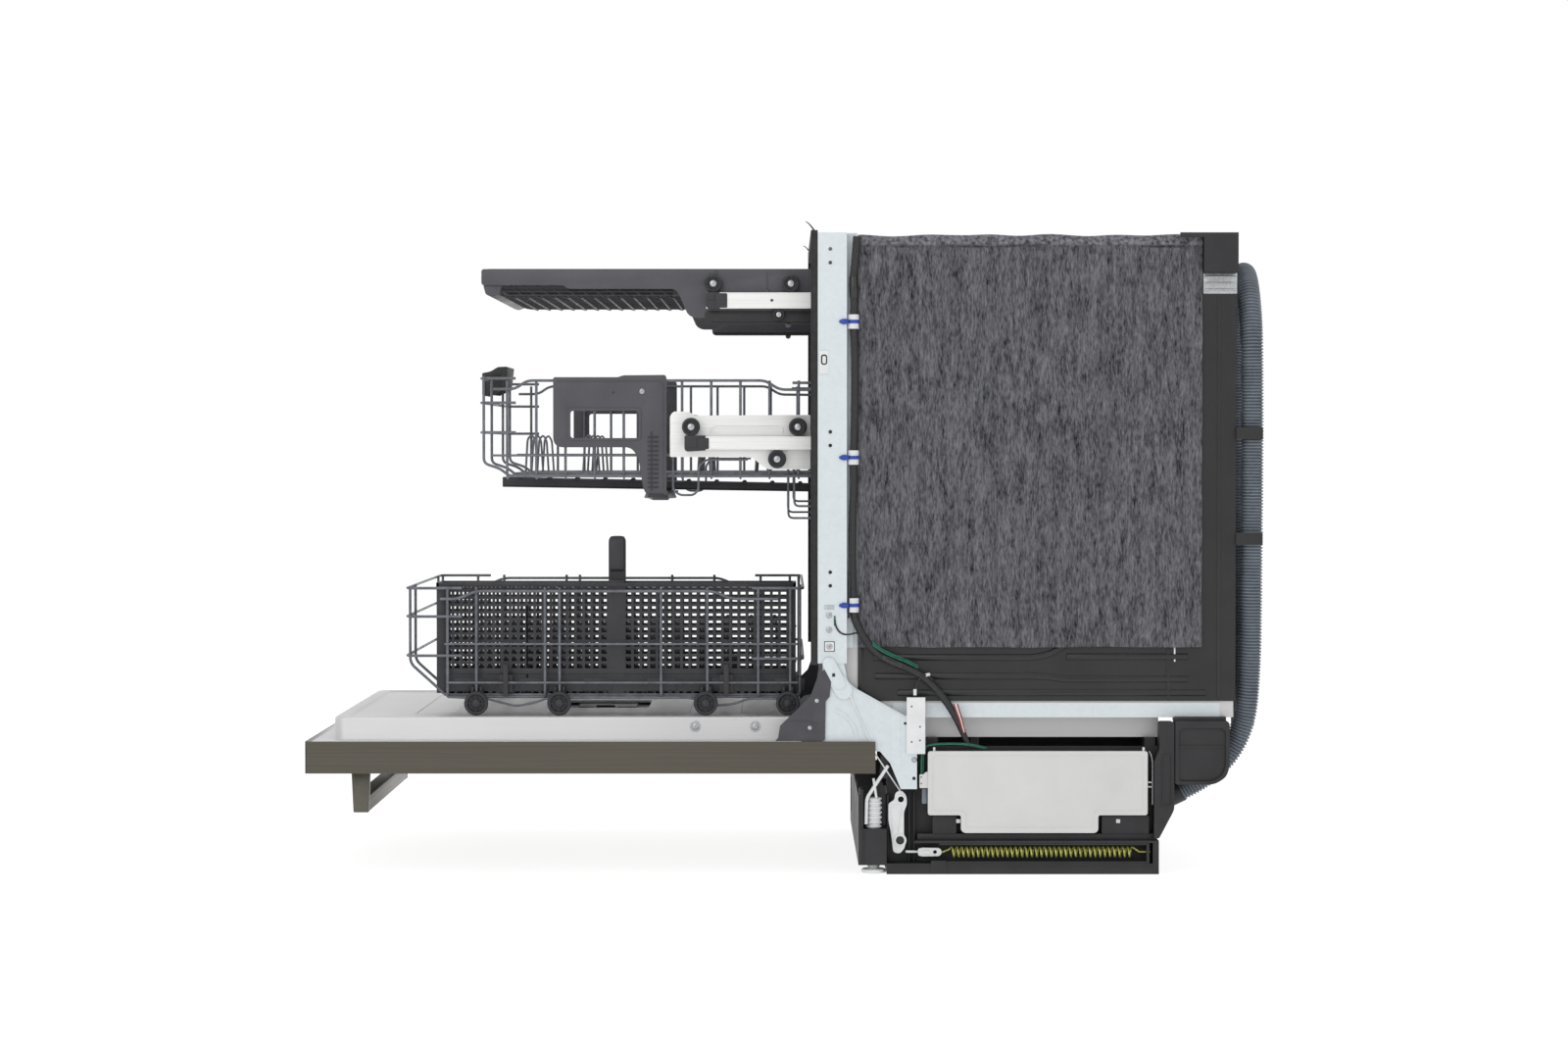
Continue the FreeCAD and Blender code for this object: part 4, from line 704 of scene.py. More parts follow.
def doorDetails():
    bm = bmesh.new()
    for y, z in ((-119.5, 194.5), (-39.5, 194.5)):
        screwHead(bm, (272.1, y, z), door["screwRadius"])
        addTurned(bm, (272.05, y, z), (1, 0, 0), [(0, 5.2), (0, 7.4), (0.5, 7.0), (0.5, 5.4)], 28)
    piece("linerScrewHeads", bm, zincSteel, "door", ["liner_screws"], bevel=0.2,
          mirror=True)
    # the liner is one deep pressing with rounded corners and a soft top edge
    pan = bmesh.new()
    low, top = door["linerLow"], door["linerTop"]
    edge = [(-1.2, low), (0.0, low + 2), (0.0, top - 4.0), (0.5, top - 1.8), (1.8, top - 0.5),
            (4.0, top), (15.0, top), (18.0, top - 0.4), (20.0, top - 1.6), (23.0, top - 1.9)]
    rows = []
    for inset, z in edge:
        corner = max(door["linerCorner"] - inset * 0.5, 3.0)
        half, front = door["linerHalf"] - inset, door["linerFront"] + inset
        rear = door["linerRear"] - min(inset, 4.0)
        loop = roundedOutline([(-half, front), (half, front), (half, rear), (-half, rear)],
                              [corner, corner, 3, 3], 9)
        rows.append([pan.verts.new((x, y, z)) for x, y in loop])
    for a, b in zip(rows, rows[1:]):
        for k in range(len(a)):
            n = (k + 1) % len(a)
            pan.faces.new([a[k], a[n], b[n], b[k]])
    piece("linerPan", pan, tubSteel, "door", ["door_liner"], bevel=0.0)
    floor = bmesh.new()
    panel = roundedOutline([(-249.3, -579.1), (249.3, -579.1), (249.3, 17.9), (-249.3, 17.9)],
                           [6, 6, 3, 3], 6)
    well = roundedOutline([(-76, -311), (76, -311), (76, -189), (-76, -189)], 8)
    addSlab(floor, panel, "z", top - 3.4, top - 1.9, [well])
    flange = [(-300.0, -627.5), (300.0, -627.5), (300.0, 21.5), (-300.0, 21.5)]
    inside = roundedOutline([(-270.5, -600.0), (270.5, -600.0), (270.5, 19.5), (-270.5, 19.5)], 12)
    addSlab(floor, flange, "z", 175.8, 177.0, [inside])
    tray = roundedOutline([(-79, -314), (79, -314), (79, -186), (-79, -186)], 9)
    addSlab(floor, tray, "z", 196.6, 198.9, [well])
    addSlab(floor, tray, "z", 202.0, top - 3.0, [well])
    # three walls only, because the lid slides out through the open side
    for near, far in (((-79, -314), (79, -311)), ((-79, -189), (79, -186)),
                      ((76, -314), (79, -186))):
        addBox(floor, (*near, 198.8), (*far, 202.1))
    addSlab(floor, tray, "z", 195.4, 196.8)
    piece("linerPanel", floor, tubSteel, "door", bevel=0.5)
    seam = bmesh.new()
    for y in (-500, -430, -130, -60):
        addAlong(seam, bentWire([(-190, y, top - 2.2), (190, y, top - 2.2)], 10), 1.3, 10)
    piece("linerPressings", seam, tubSteel, "door")
    grip = bmesh.new()
    leg = roundedOutline([(-580.2, 134.0), (-555.4, 134.0), (-557.3, 78.0), (-577.6, 78.0)],
                         [0.3, 0.3, 1.5, 1.5])
    for low, high in ((245.5, 256.4), (-256.4, -245.5)):  # two tapered legs, a bar between
        addSlab(grip, leg, "x", low, high)
    bar = roundedOutline([(-578.6, 100.5), (-556.6, 100.5), (-557.4, 78.4), (-577.5, 78.4)], 1.6)
    addSlab(grip, bar, "x", -door["gripHalf"], door["gripHalf"])
    piece("pullHandle", grip, handleSteel, "door", ["door_handle"], bevel=0.8)
    rivets = bmesh.new()
    face = 299.1
    for y, z in ((42.2, 230.5), (32.9, 194.6)):
        addTurned(rivets, (face - 0.1, y, z), (1, 0, 0),
                  [(0, 0.0), (0, 2.9), (0.7, 2.6), (1.2, 1.5), (1.35, 0.0)], 24)
    piece("armRivets", rivets, zincSteel, "door", mirror=True)
    boss = bmesh.new()
    addTurned(boss, (face - 0.1, 32.9, 194.6), (1, 0, 0),
              [(0, 3.0), (0, 7.2), (0.35, 6.9), (0.55, 6.0), (0.4, 3.2)], 30)
    path = bentWire([(face, 44.5, 199.5), (face, 34, 203.5), (face, 8, 203.5)], 6)
    addAlong(boss, path, 0.7, 8)
    piece("armBosses", boss, armSteel, "door", mirror=True)
    trim = bmesh.new()
    # a dark shadow line where skin and liner meet, and the rolled end of the skin
    addBox(trim, (-299.9, -633.6, 175.4), (299.9, -628.0, 176.7))
    addBox(trim, (-301.6, -636.3, 134.0), (301.6, -634.7, 176.9))
    piece("doorEdgeTrim", trim, stripBlack, "door", bevel=0.2)


doorDetails()

print("front frame and hinges")
frameSides = {"face": 297.2, "holes": (829.0, 811.0, 587.0, 569.0, 401.0, 383.0), "holeY": 60.0}


def uprightDetails():
    face = frameSides["face"]
    rings = bmesh.new()
    for z in frameSides["holes"]:  # a raised lip round each open screw hole
        addTurned(rings, (face - 0.05, frameSides["holeY"], z), (1, 0, 0),
                  [(0, 2.5), (0, 4.4), (0.3, 4.0), (0.35, 2.9)], 26)
    # pressed rims around the clip window and the screw windows
    for y, z, w, h in ((51.5, 679.0, 7.2, 17.0), (59.0, 302.5, 8.4, 8.4)):
        outer = roundedOutline([(y - w, z - h), (y + w, z - h), (y + w, z + h),
                                (y - w, z + h)], 1.6)
        inner = roundedOutline([(y - w + 1.4, z - h + 1.4), (y + w - 1.4, z - h + 1.4),
                                (y + w - 1.4, z + h - 1.4), (y - w + 1.4, z + h - 1.4)], 1.0)
        addSlab(rings, outer, "x", face - 0.1, face + 0.45, [inner])
    piece("uprightPressings", rings, galvanised, "root", bevel=0.12, mirror=True)
    dark = bmesh.new()
    for y, z, w, h in ((51.5, 683.0, 4.6, 8.6), (59.0, 302.5, 7.0, 7.0)):
        addSlab(dark, roundedOutline([(y - w, z - h), (y + w, z - h), (y + w, z + h),
                                      (y - w, z + h)], 1.0), "x", face - 0.02, face + 0.1)
    # holes and a slot in the hinge plate
    for y, z, r in ((171.3, 127.2, 2.4), (171.7, 151.9, 3.6), (159.5, 200.3, 2.0)):
        addTurned(dark, (296.0, y, z), (1, 0, 0),
                  [(0, 0.0), (0, r), (0.06, r - 0.1), (0.06, 0.0)], 20)
    piece("frameShadowGaps", dark, blackMoulding, "root", mirror=True)
    clips = bmesh.new()
    plate = roundedOutline([(45.6, 663.6), (57.4, 663.6), (57.4, 694.4), (45.6, 694.4)], 1.6)
    hole = roundedOutline([(47.6, 675.6), (56.0, 675.6), (56.0, 689.6), (47.6, 689.6)], 4.0)
    addSlab(clips, plate, "x", face, face + 0.9, [hole])
    addSlab(clips, roundedOutline([(49.6, 677.4), (54.2, 677.4), (54.2, 687.4), (49.6, 687.4)],
                                  2.2), "x", face, face + 1.5)
    addSlab(clips, roundedOutline([(53, 296.5), (65, 296.5), (65, 308.5), (53, 308.5)], 1.2), "x",
            face, face + 0.7)
    piece("frameClips", clips, whiteMoulding, "root", bevel=0.3, mirror=True)
    screws = bmesh.new()
    for y, z in ((58.5, 344.0), (58.5, 324.5), (59.0, 302.5)):
        screwHead(screws, (face + 0.1, y, z), 4.1)
    for k in range(4):  # knurled strip above the earth screw
        addBox(screws, (face - 0.05, 51.5, 351.6 + k * 1.7), (face + 0.35, 65.5, 352.5 + k * 1.7))
    screwHead(screws, (296.05, 171.7, 151.9), 3.1, 1.2)
    piece("frameScrewHeads", screws, zincSteel, "root", ["frame_screws"],
          bevel=0.15, mirror=True)


def hingePressings():
    bm = bmesh.new()
    for radius in (37.5, 42.8):
        path = []
        for k in range(25):
            a = math.radians(74 - 70 * k / 24)
            path.append((296.0, 54.5 + radius * math.cos(a), 179.5 + radius * math.sin(a)))
        addAlong(bm, path, 0.9, 10)
    addAlong(bm, [(296.0, 92, 246), (296.0, 158.5, 208.8)], 1.0, 10)
    slab = roundedOutline([(140.5, 148), (153.5, 144), (153.5, 211), (140.5, 218.5)], 3)
    addSlab(bm, slab, "x", 295.8, 296.5)
    piece("hingePlatePressings", bm, galvanised, "root", bevel=0.2, mirror=True)
    # two short links lie over each other at the top of the hinge
    links = bmesh.new()

    def link(a, b, r, low, high):
        a, b = Vector(a), Vector(b)
        lead = math.atan2(b.y - a.y, b.x - a.x)
        loop = [(a.x + r * math.cos(lead + math.radians(90 + 180 * k / 12)),
                 a.y + r * math.sin(lead + math.radians(90 + 180 * k / 12))) for k in range(13)]
        loop += [(b.x + r * math.cos(lead + math.radians(-90 + 180 * k / 12)),
                  b.y + r * math.sin(lead + math.radians(-90 + 180 * k / 12))) for k in range(13)]
        addSlab(links, loop, "x", low, high)

    link((58.5, 279.5), (72.0, 254.0), 8.6, 299.3, 300.3)
    link((72.0, 254.0), (78.0, 243.5), 11.4, 297.6, 298.7)
    piece("hingeLinks", links, galvanised, "root", bevel=0.3, mirror=True)
    # a black patch: painted shade standing for the inside of the slot in the link
    linkSlotShade = bmesh.new()
    addBox(linkSlotShade, (300.2, 62.5, 262.5), (300.9, 66.5, 267.0))
    piece("hingeLinkSlotShade", linkSlotShade, blackMoulding, "root", mirror=True)
    # dark discs: painted shade standing for the inside of the cord guide holes
    cordHoleShade = bmesh.new()
    for y, z in ((168.0, 176.0), (168.0, 223.0), (179.0, 178.0), (179.0, 196.0)):
        addTurned(cordHoleShade, (300.45, y, z), (1, 0, 0),
                  [(0, 0.0), (0, 1.3), (0.1, 1.2), (0.1, 0.0)], 16)
    piece("cordGuideHoleShade", cordHoleShade, armSteel, "root")


def gasketLip():
    # the end of the rubber flap curls up at the top corners
    bm = bmesh.new()
    curl = [(39.5, 852.0), (37.0, 856.0), (34.0, 860.0), (31.0, 863.2), (27.5, 865.4)]
    addAlong(bm, [(295.2, y, z) for y, z in curl], [1.3, 1.1, 0.9, 0.7, 0.5], 10)
    for v in bm.verts:
        v.co.x = 294.0 + (v.co.x - 295.2) * 2.2
    piece("gasketLip", bm, sealRubber, "root", mirror=True)
    beads = bmesh.new()
    for y in (36.0, 41.4):
        addAlong(beads, [(297.2, y, 284), (297.2, y, 850)], 0.9, 10)
    piece("gasketBeads", beads, sealRubber, "root", mirror=True)


uprightDetails()
hingePressings()
gasketLip()

print("lower rack")
lowerRack = {"half": 248.0, "front": -507.0, "rear": 24.0, "floor": 232.0, "rim": 374.0,
             "wire": 3.9, "thin": 3.2, "uprights": (-452.0, -413.5, -321.6, -302.0, -166.0,
                                                    -104.0, -35.8, 7.2),
             "tineRows": (-190.0, -120.0, -50.0, 20.0, 90.0), "tinePitch": 34.0}
wheelSpots = {"a": -413.0, "b": -302.0, "c": -106.0, "d": 4.0}


def lowerRackWires():
    w, floor, rim = lowerRack["half"], lowerRack["floor"], lowerRack["rim"]
    front, rear = lowerRack["front"], lowerRack["rear"]
    heavy, light = [], []
    for z in (rim + 4, 340.0, 287.5):  # hoops round the front corners
        heavy.append(bentWire([(w, -433, z), (w, front, z), (-w, front, z), (-w, -433, z)], 14))
    for z in (rim + 4, 283.6):  # and round the rear ones
        heavy.append(bentWire([(w, -44, z), (w, rear, z), (-w, rear, z), (-w, -44, z)], 10))
    for s in (1, -1):
        x = s * (w + 1.6)
        heavy.append(bentWire([(x, -462, 363.6), (x, -438, 363.6), (x, -414, rim), (x, -96, rim),
                               (x, -72, 363.6), (x, -9, 363.6)], 9))
        light.append([(x, -456, 303.2), (x, 17, 303.2)])
        light.append([(x, -453, 251.4), (x, 17, 251.4)])
        # the low runner dips between the wheels
        light.append(bentWire([(s * 245, -452, floor), (s * 245, -398, 229.5),
                               (s * 245, -362, 219.5), (s * 245, -338, 224), (s * 245, -316, 231),
                               (s * 245, -126, 231), (s * 245, -92, 220.5), (s * 245, -70, 222),
                               (s * 245, -48, 230), (s * 245, 18, 230)], 8))
    for y in lowerRack["uprights"]:
        heavy.append(bentWire([(w, y, 379), (w, y, floor), (-w, y, floor), (-w, y, 379)], 9))
    for x in (238, 166, -166, -238):  # lengthwise wires rise at both ends
        heavy.append(bentWire([(x, -503, 380), (x, -503, 277), (x, -453, floor), (x, 20, floor),
                               (x, 20, 380)], 8))
    for k in range(12):
        x = -236 + 43 * k
        if abs(x) < 240:
            light.append([(x, -458, floor + 3), (x, 18, floor + 3)])
    for x in lowerRack["tineRows"]:
        y = -428.0
        light.append([(x, -440, floor + 3), (x, 6, floor + 3)])
        while y < -4:
            light.append(bentWire([(x, y, floor + 3), (x, y + 2, 318), (x + 3.5, y + 5, 323),
                                   (x + 7, y + 8, 318), (x + 7, y + 10, floor + 3)], 3, 3))
            y += lowerRack["tinePitch"]
    wires("lowerRackFrame", heavy, lowerRack["wire"], wireCoat, "lower_rack",
          ["lower_rack"])
    wires("lowerRackMesh", light, lowerRack["thin"], wireCoat, "lower_rack")


def lowerWheels():
    for letter, y in wheelSpots.items():
        bm = bmesh.new()
        inner, z = 251.8, 224.3
        addTurned(bm, (inner, y, z), (1, 0, 0),
                  [(0.6, 11.4), (0.0, 12.4), (0.2, 15.2), (1.2, 15.95), (8.2, 15.95),
                   (9.1, 15.2), (9.2, 12.6), (8.4, 11.4)], 44)
        addTurned(bm, (inner, y, z), (1, 0, 0), [(0.4, 3.1), (0.4, 6.0), (8.4, 6.0), (9.0, 5.2),
                                                 (9.0, 3.1)], 32)
        addTurned(bm, (inner, y, z), (1, 0, 0), [(4.0, 5.0), (4.0, 12.0), (5.4, 12.0),
                                                 (5.4, 5.0)], 32)
        for k in range(8):
            a = 2 * math.pi * k / 8
            out = Vector((0, math.cos(a), math.sin(a)))
            side = Vector((0, -math.sin(a), math.cos(a)))
            corners = []
            for depth in (1.4, 8.2):
                for r, t in ((5.2, -0.8), (12.0, -0.8), (12.0, 0.8), (5.2, 0.8)):
                    corners.append(bm.verts.new(Vector((inner + depth, y, z)) + out * r + side * t))
            for quad in ((0, 1, 2, 3), (7, 6, 5, 4), (0, 4, 5, 1), (1, 5, 6, 2), (2, 6, 7, 3),
                         (3, 7, 4, 0)):
                bm.faces.new([corners[q] for q in quad])
        piece("rackWheels" + letter.upper(), bm, wheelMoulding, "lower_wheels_" + letter,
              ["lower_wheels_" + letter], bevel=0.25, mirror=True)
    holders = bmesh.new()
    for y in wheelSpots.values():
        loop = roundedOutline([(y - 9, 229), (y - 5, 214), (y + 5, 214), (y + 9, 229), (y + 9, 240),
                               (y - 9, 240)], 4)
        addSlab(holders, loop, "x", 242.6, 246.8)
        addRod(holders, (246.0, y, 224.3), (262.0, y, 224.3), 2.9, 20)
        addTurned(holders, (260.9, y, 224.3), (1, 0, 0), [(0, 0.0), (0, 4.6), (0.7, 4.2),
                                                          (1.0, 2.0), (1.0, 0.0)], 20)
        addBox(holders, (242.0, y - 7, 236), (250.4, y - 4, 246))
        addBox(holders, (242.0, y + 4, 236), (250.4, y + 7, 246))
    for y in (-374.0, -78.6):
        addSlab(holders, roundedOutline([(y - 3.4, 233), (y + 3.4, 233), (y + 3.4, 276),
                                         (y - 3.4, 276)], 1.2), "x", 251.4, 255.0)
        addSlab(holders, roundedOutline([(y - 9, 238), (y + 9, 238), (y + 9, 262), (y - 9, 262)],
                                        2.0), "x", 243.0, 246.6)
    piece("wheelHolders", holders, binMoulding, "lower_rack", bevel=0.4,
          mirror=True)


cutlery = {"inner": 168.6, "outer": 238.2, "front": -467.5, "rear": 14.5, "low": 236.8,
           "top": 384.0, "solidTop": 268.0, "pitchY": 10.9, "pitchZ": 9.6, "bar": 3.7, "row": 3.6,
           "middle": -226.5}


def cutleryBasket():
    c = cutlery
    bm = bmesh.new()

    def grid(low, high, axis, at, wall, solid, columns=()):
        # a moulded lattice wall between two corners, at a place on its own axis
        a, b = low
        p, q = high

        def bar(u0, v0, u1, v1, thick):
            if axis == "x":
                addBox(bm, (at, u0, v0), (at + thick, u1, v1))
            elif axis == "y":
                addBox(bm, (u0, at, v0), (u1, at + thick, v1))
            else:
                addBox(bm, (u0, v0, at), (u1, v1, at + thick))
        step = c["pitchY"]
        n = max(1, round((p - a) / step))
        for k in range(n + 1):
            u = a + (p - a) * k / n
            wide = c["bar"] if k not in (0, n) else 5.0
            u0 = min(max(u - wide / 2, a), p - wide)
            bar(u0, b, u0 + wide, q, wall)
        m = max(1, round((q - solid) / c["pitchZ"]))
        for k in range(m + 1):
            v = solid + (q - solid) * k / m
            v0 = min(max(v - c["row"] / 2, b), q - 3.4)
            bar(a, v0, p, v0 + (3.4 if k == m else c["row"]), wall * 0.84)
        if solid > b:
            bar(a, b, p, solid, wall * 0.72)
        for u0, u1 in columns:
            bar(u0, b, u1, q, wall * 1.1)

    column = [(c["middle"] - 11.0, c["middle"] + 11.0)]
    grid((c["front"], c["low"]), (c["rear"], c["top"]), "x", c["outer"] - 2.4, 2.4, c["solidTop"],
         column)
    grid((c["front"], c["low"]), (c["rear"], c["top"]), "x", c["inner"], 2.4, c["solidTop"],
         column)
    for y in (c["front"], c["middle"] - 1.2, c["rear"] - 2.4):
        grid((c["inner"], c["low"]), (c["outer"], c["top"]), "y", y, 2.4, c["solidTop"])
    for y in (-347.0, -106.0):
        grid((c["inner"], c["low"]), (c["outer"], c["top"] - 30), "y", y, 2.0, c["low"] + 12)
    grid((c["inner"], c["front"]), (c["outer"], c["rear"]), "z", c["low"], 2.4, c["front"])
    piece("cutleryLattice", bm, binMoulding, "lower_rack", ["cutlery_basket"],
          smooth=False)
    trim = bmesh.new()
    top = c["top"]
    for x0, x1 in ((c["inner"] - 1.2, c["inner"] + 2.6), (c["outer"] - 2.6, c["outer"] + 1.2)):
        addBox(trim, (x0, c["front"] - 0.5, top - 5.0), (x1, c["rear"] + 0.5, top + 1.2))
    for y0 in (c["front"] - 0.5, c["rear"] - 3.4):
        addBox(trim, (c["inner"] - 1.2, y0, top - 5.0), (c["outer"] + 1.2, y0 + 3.9, top + 1.2))
    side = c["outer"]
    addBox(trim, (side - 1.0, c["front"], c["low"]), (side + 0.9, c["front"] + 11, top))
    addBox(trim, (side - 1.0, c["rear"] - 9, c["low"]), (side + 0.9, c["rear"], top))
    addBox(trim, (side - 1.0, c["front"], 262.5), (side + 0.8, c["rear"], 270.0))
    for k in range(6):
        y = c["front"] + 24 + k * 86
        addBox(trim, (side - 0.9, y, 240.0), (side + 0.7, y + 40, 257.0))
    mid = c["middle"]
    loop = roundedOutline([(mid - 11.5, 236.9), (mid + 11.5, 236.9), (mid + 11.5, 447),
                           (mid - 11.5, 447)], [0.5, 0.5, 8, 8])
    addSlab(trim, loop, "x", 197.5, 209.5)
    grip = roundedOutline([(192.5, 400), (214.5, 400), (214.5, 446.5), (192.5, 446.5)],
                          [4, 4, 9, 9])
    addSlab(trim, grip, "y", mid - 9.0, mid + 9.0)
    addBox(trim, (c["outer"] - 30, mid - 10, 384), (c["outer"] - 1, mid + 10, 388))
    piece("cutleryTrim", trim, binMoulding, "lower_rack", bevel=0.7)


lowerRackWires()
lowerWheels()
cutleryBasket()

print("middle rack")
middleRack = {"half": 236.0, "front": -404.0, "rear": 45.0, "floor": 528.0, "rim": 656.0,
              "wire": 3.7, "thin": 3.0, "pitch": 39.1, "gripHalf": 66.0}


def middleRackWires():
    m = middleRack
    w, floor, rim, front, rear = m["half"], m["floor"], m["rim"], m["front"], m["rear"]
    heavy, light = [], []
    for z in (rim + 3, 626.3, 586.5):
        heavy.append(bentWire([(w, -361, z), (w, front - 4, z), (-w, front - 4, z), (-w, -361, z)],
                              12))
    for z in (rim - 3, 586.5):
        heavy.append(bentWire([(w, 10, z), (w, rear, z), (-w, rear, z), (-w, 10, z)], 8))
    for s in (1, -1):
        x = s * (w + 1.4)
        heavy.append(bentWire([(x, -391, 644.6), (x, -362, 644.6), (x, -346, rim), (x, -26, rim),
                               (x, -8, 644.0), (x, rear - 2, 643.5)], 8))
        light.append([(x, -394, 555.7), (x, rear - 2, 555.7)])
        # loops that carry the adjuster's foot and the rear stop
        light.append(bentWire([(x, -150, 556), (x, -150, 509), (x, -141, 502.5), (x, -123, 502.5),
                               (x, -116, 509), (x, -116, 541), (x, -106, 550), (x, -50, 550)], 7))
        for y0, y1, z in ((4.5, 44, 471.5), (12.5, 44, 487.5)):
            light.append(bentWire([(s * 228, y0, 540), (s * 228, y0, z), (s * 228, y1, z)], 7))
    y = -372.6
    while y < rear:
        heavy.append(bentWire([(w, y, rim), (w, y, floor), (-w, y, floor), (-w, y, rim)], 6))
        for s in (1, -1):
            light.append([(s * (w - 7), y, floor - 3.0), (s * (w + 0.5), y, floor - 0.5)])
        y += m["pitch"]
    for x in (236, 101, -101, -236):
        heavy.append(bentWire([(x, front, 662), (x, front, 545), (x, front + 22, 538),
                               (x, front + 34, floor), (x, rear - 4, floor),
                               (x, rear - 4, 650)], 7))
    for k in range(11):
        x = -222 + 44.4 * k
        light.append([(x, -366, floor + 3.3), (x, rear - 6, floor + 3.3)])
    for x in (-178.0, -60.0, 60.0, 178.0):  # cup tines
        y = -352.0
        while y < 20:
            light.append(bentWire([(x, y, floor + 3), (x + 3, y + 3, 578), (x + 8, y + 9, 584),
                                   (x + 11, y + 14, 576), (x + 12, y + 17, floor + 3)], 4, 3))
            y += 78.0
    wires("middleRackFrame", heavy, m["wire"], wireCoat, "middle_rack",
          ["middle_rack"])
    wires("middleRackMesh", light, m["thin"], wireCoat, "middle_rack")
    grips = bmesh.new()
    reach = m["gripHalf"]
    shell = roundedOutline([(-420.0, 638.0), (-415.5, 638.0), (-415.5, 660.5), (-394, 668.0),
                            (-392.5, 647.0), (-388.5, 647.0), (-385.0, 678.5), (-398, 678.0),
                            (-409, 671.5), (-420.0, 669.5)], [2, 1, 1, 1, 1, 1, 2, 2, 3, 2])
    addSlab(grips, shell, "x", -reach, reach)
    rib = roundedOutline([(-416.5, 640.5), (-405, 639.5), (-389.5, 647.5), (-387.5, 668),
                          (-416.5, 667)], 1.0)
    for k in range(5):  # webs under the grip, where it clips to the wire
        x = -reach + 1.2 + k * (2 * reach - 4.4) / 4
        addSlab(grips, rib, "x", x, x + 2.0)
    piece("middleRackGrip", grips, blackMoulding, "middle_rack", bevel=0.8)


def adjusterPanels():
    # the height adjuster: a rounded panel with a grip window and a ribbed leg
    outline = [(-310.5, 660.5), (-223, 660.5), (-217, 663), (-160.5, 663.5), (-158.7, 660),
               (-158.7, 505), (-164, 503.6), (-186, 503.6), (-190, 512), (-196.5, 553),
               (-206, 566.5), (-310.5, 566.5)]
    radii = [3, 4, 4, 2, 3, 3, 3, 5, 6, 13, 16, 14]
    window = roundedOutline([(-287.5, 579), (-196, 579), (-196, 615.5), (-287.5, 615.5)], 4.5)
    bm = bmesh.new()
    addSlab(bm, roundedOutline(outline, radii, 7), "x", 238.0, 243.6, [window])
    rim = roundedOutline([(-291, 575.5), (-192.5, 575.5), (-192.5, 619), (-291, 619)], 6)
    addSlab(bm, rim, "x", 243.2, 244.3, [window])
    addAlong(bm, bentWire([(243.6, -306, 655.5), (243.6, -163, 655.5), (243.6, -163, 512)], 8), 0.8,
             8)
    piece("adjusterPanels", bm, rackMoulding, "middle_rack", ["rack_adjusters"],
          bevel=0.7, mirror=True)
    foot = bmesh.new()
    addBox(foot, (238.2, -184, 499.5), (246.5, -157, 503.4))
    for k in range(12):  # the stops for the catch, one rib each
        z = 512 + k * 6.1
        addBox(foot, (243.2, -184.0, z), (244.8, -169.5, z + 2.2))
    addBox(foot, (243.2, -179.6, 508.0), (244.6, -178.0, 588.0))
    for y, z in ((-196, 588), (-230, 640)):
        addTurned(foot, (243.7, y, z), (1, 0, 0), [(0, 0.0), (0, 1.6), (0.4, 1.3), (0.4, 0.0)], 16)
    piece("adjusterFeet", foot, binMoulding, "middle_rack", bevel=0.5, mirror=True)
    screw = bmesh.new()
    screwHead(screw, (243.7, -191.6, 641.5), 3.7)
    piece("adjusterScrews", screw, zincSteel, "middle_rack", bevel=0.15, mirror=True)


def rollerBrackets():
    outline = [(-154, 553.5), (-154, 609), (-149, 614.5), (-128, 614.5), (-122, 609), (34, 610),
               (34, 537), (-22, 537), (-30, 541), (-44, 553.5)]
    radii = [2, 5, 3, 5, 4, 2, 2, 8, 8, 6]
    bm = bmesh.new()
    addSlab(bm, roundedOutline(outline, radii, 6), "x", 244.3, 246.0)
    slot = [(-99, 586), (-99, 591), (-94, 596), (-8, 596), (-3, 591), (-3, 586)]
    addAlong(bm, bentWire([(246.2, y, z) for y, z in slot], 4), 1.1, 10)
    for y, z in ((-125.5, 593.8), (17.3, 593.8), (-10.5, 550.7)):
        addRod(bm, (245, y, z), (262.0, y, z), 2.95, 20)
    piece("rollerBrackets", bm, railSteel, "middle_carriage", ["rack_brackets"],
          bevel=0.3, mirror=True)


def rollerSet(name, body, node, y, z, radius, low, high):
    # a plastic roller with a raised rim, a groove and a dished hub
    wide = high - low
    bm = bmesh.new()
    shape = [(0.3, 3.1), (0.0, radius * 0.9), (0.8, radius), (wide - 1.0, radius),
             (wide - 0.2, radius * 0.92), (wide, radius * 0.74), (wide - 1.6, radius * 0.66),
             (wide - 1.9, radius * 0.5), (wide - 0.9, radius * 0.45), (wide - 0.9, 3.1)]
    addTurned(bm, (low, y, z), (1, 0, 0), shape, 44)
    for k in range(6):  # small moulded marks so that the turning shows
        a = 2 * math.pi * k / 6
        r = radius * 0.82
        spot = (high - 0.4, y + r * math.cos(a), z + r * math.sin(a))
        addRod(bm, spot, (high + 0.1, spot[1], spot[2]), 0.5, 10)
    piece(name, bm, wheelMoulding, body, [node], bevel=0.15, mirror=True)


def rivetCaps(name, body, spots, low, radius):
    bm = bmesh.new()
    for y, z in spots:
        addTurned(bm, (low, y, z), (1, 0, 0), [(0, 0.0), (0, radius), (0.5, radius),
                                               (1.0, radius * 0.7), (1.05, 0.0)], 26)
    piece(name, bm, zincSteel, body, mirror=True)


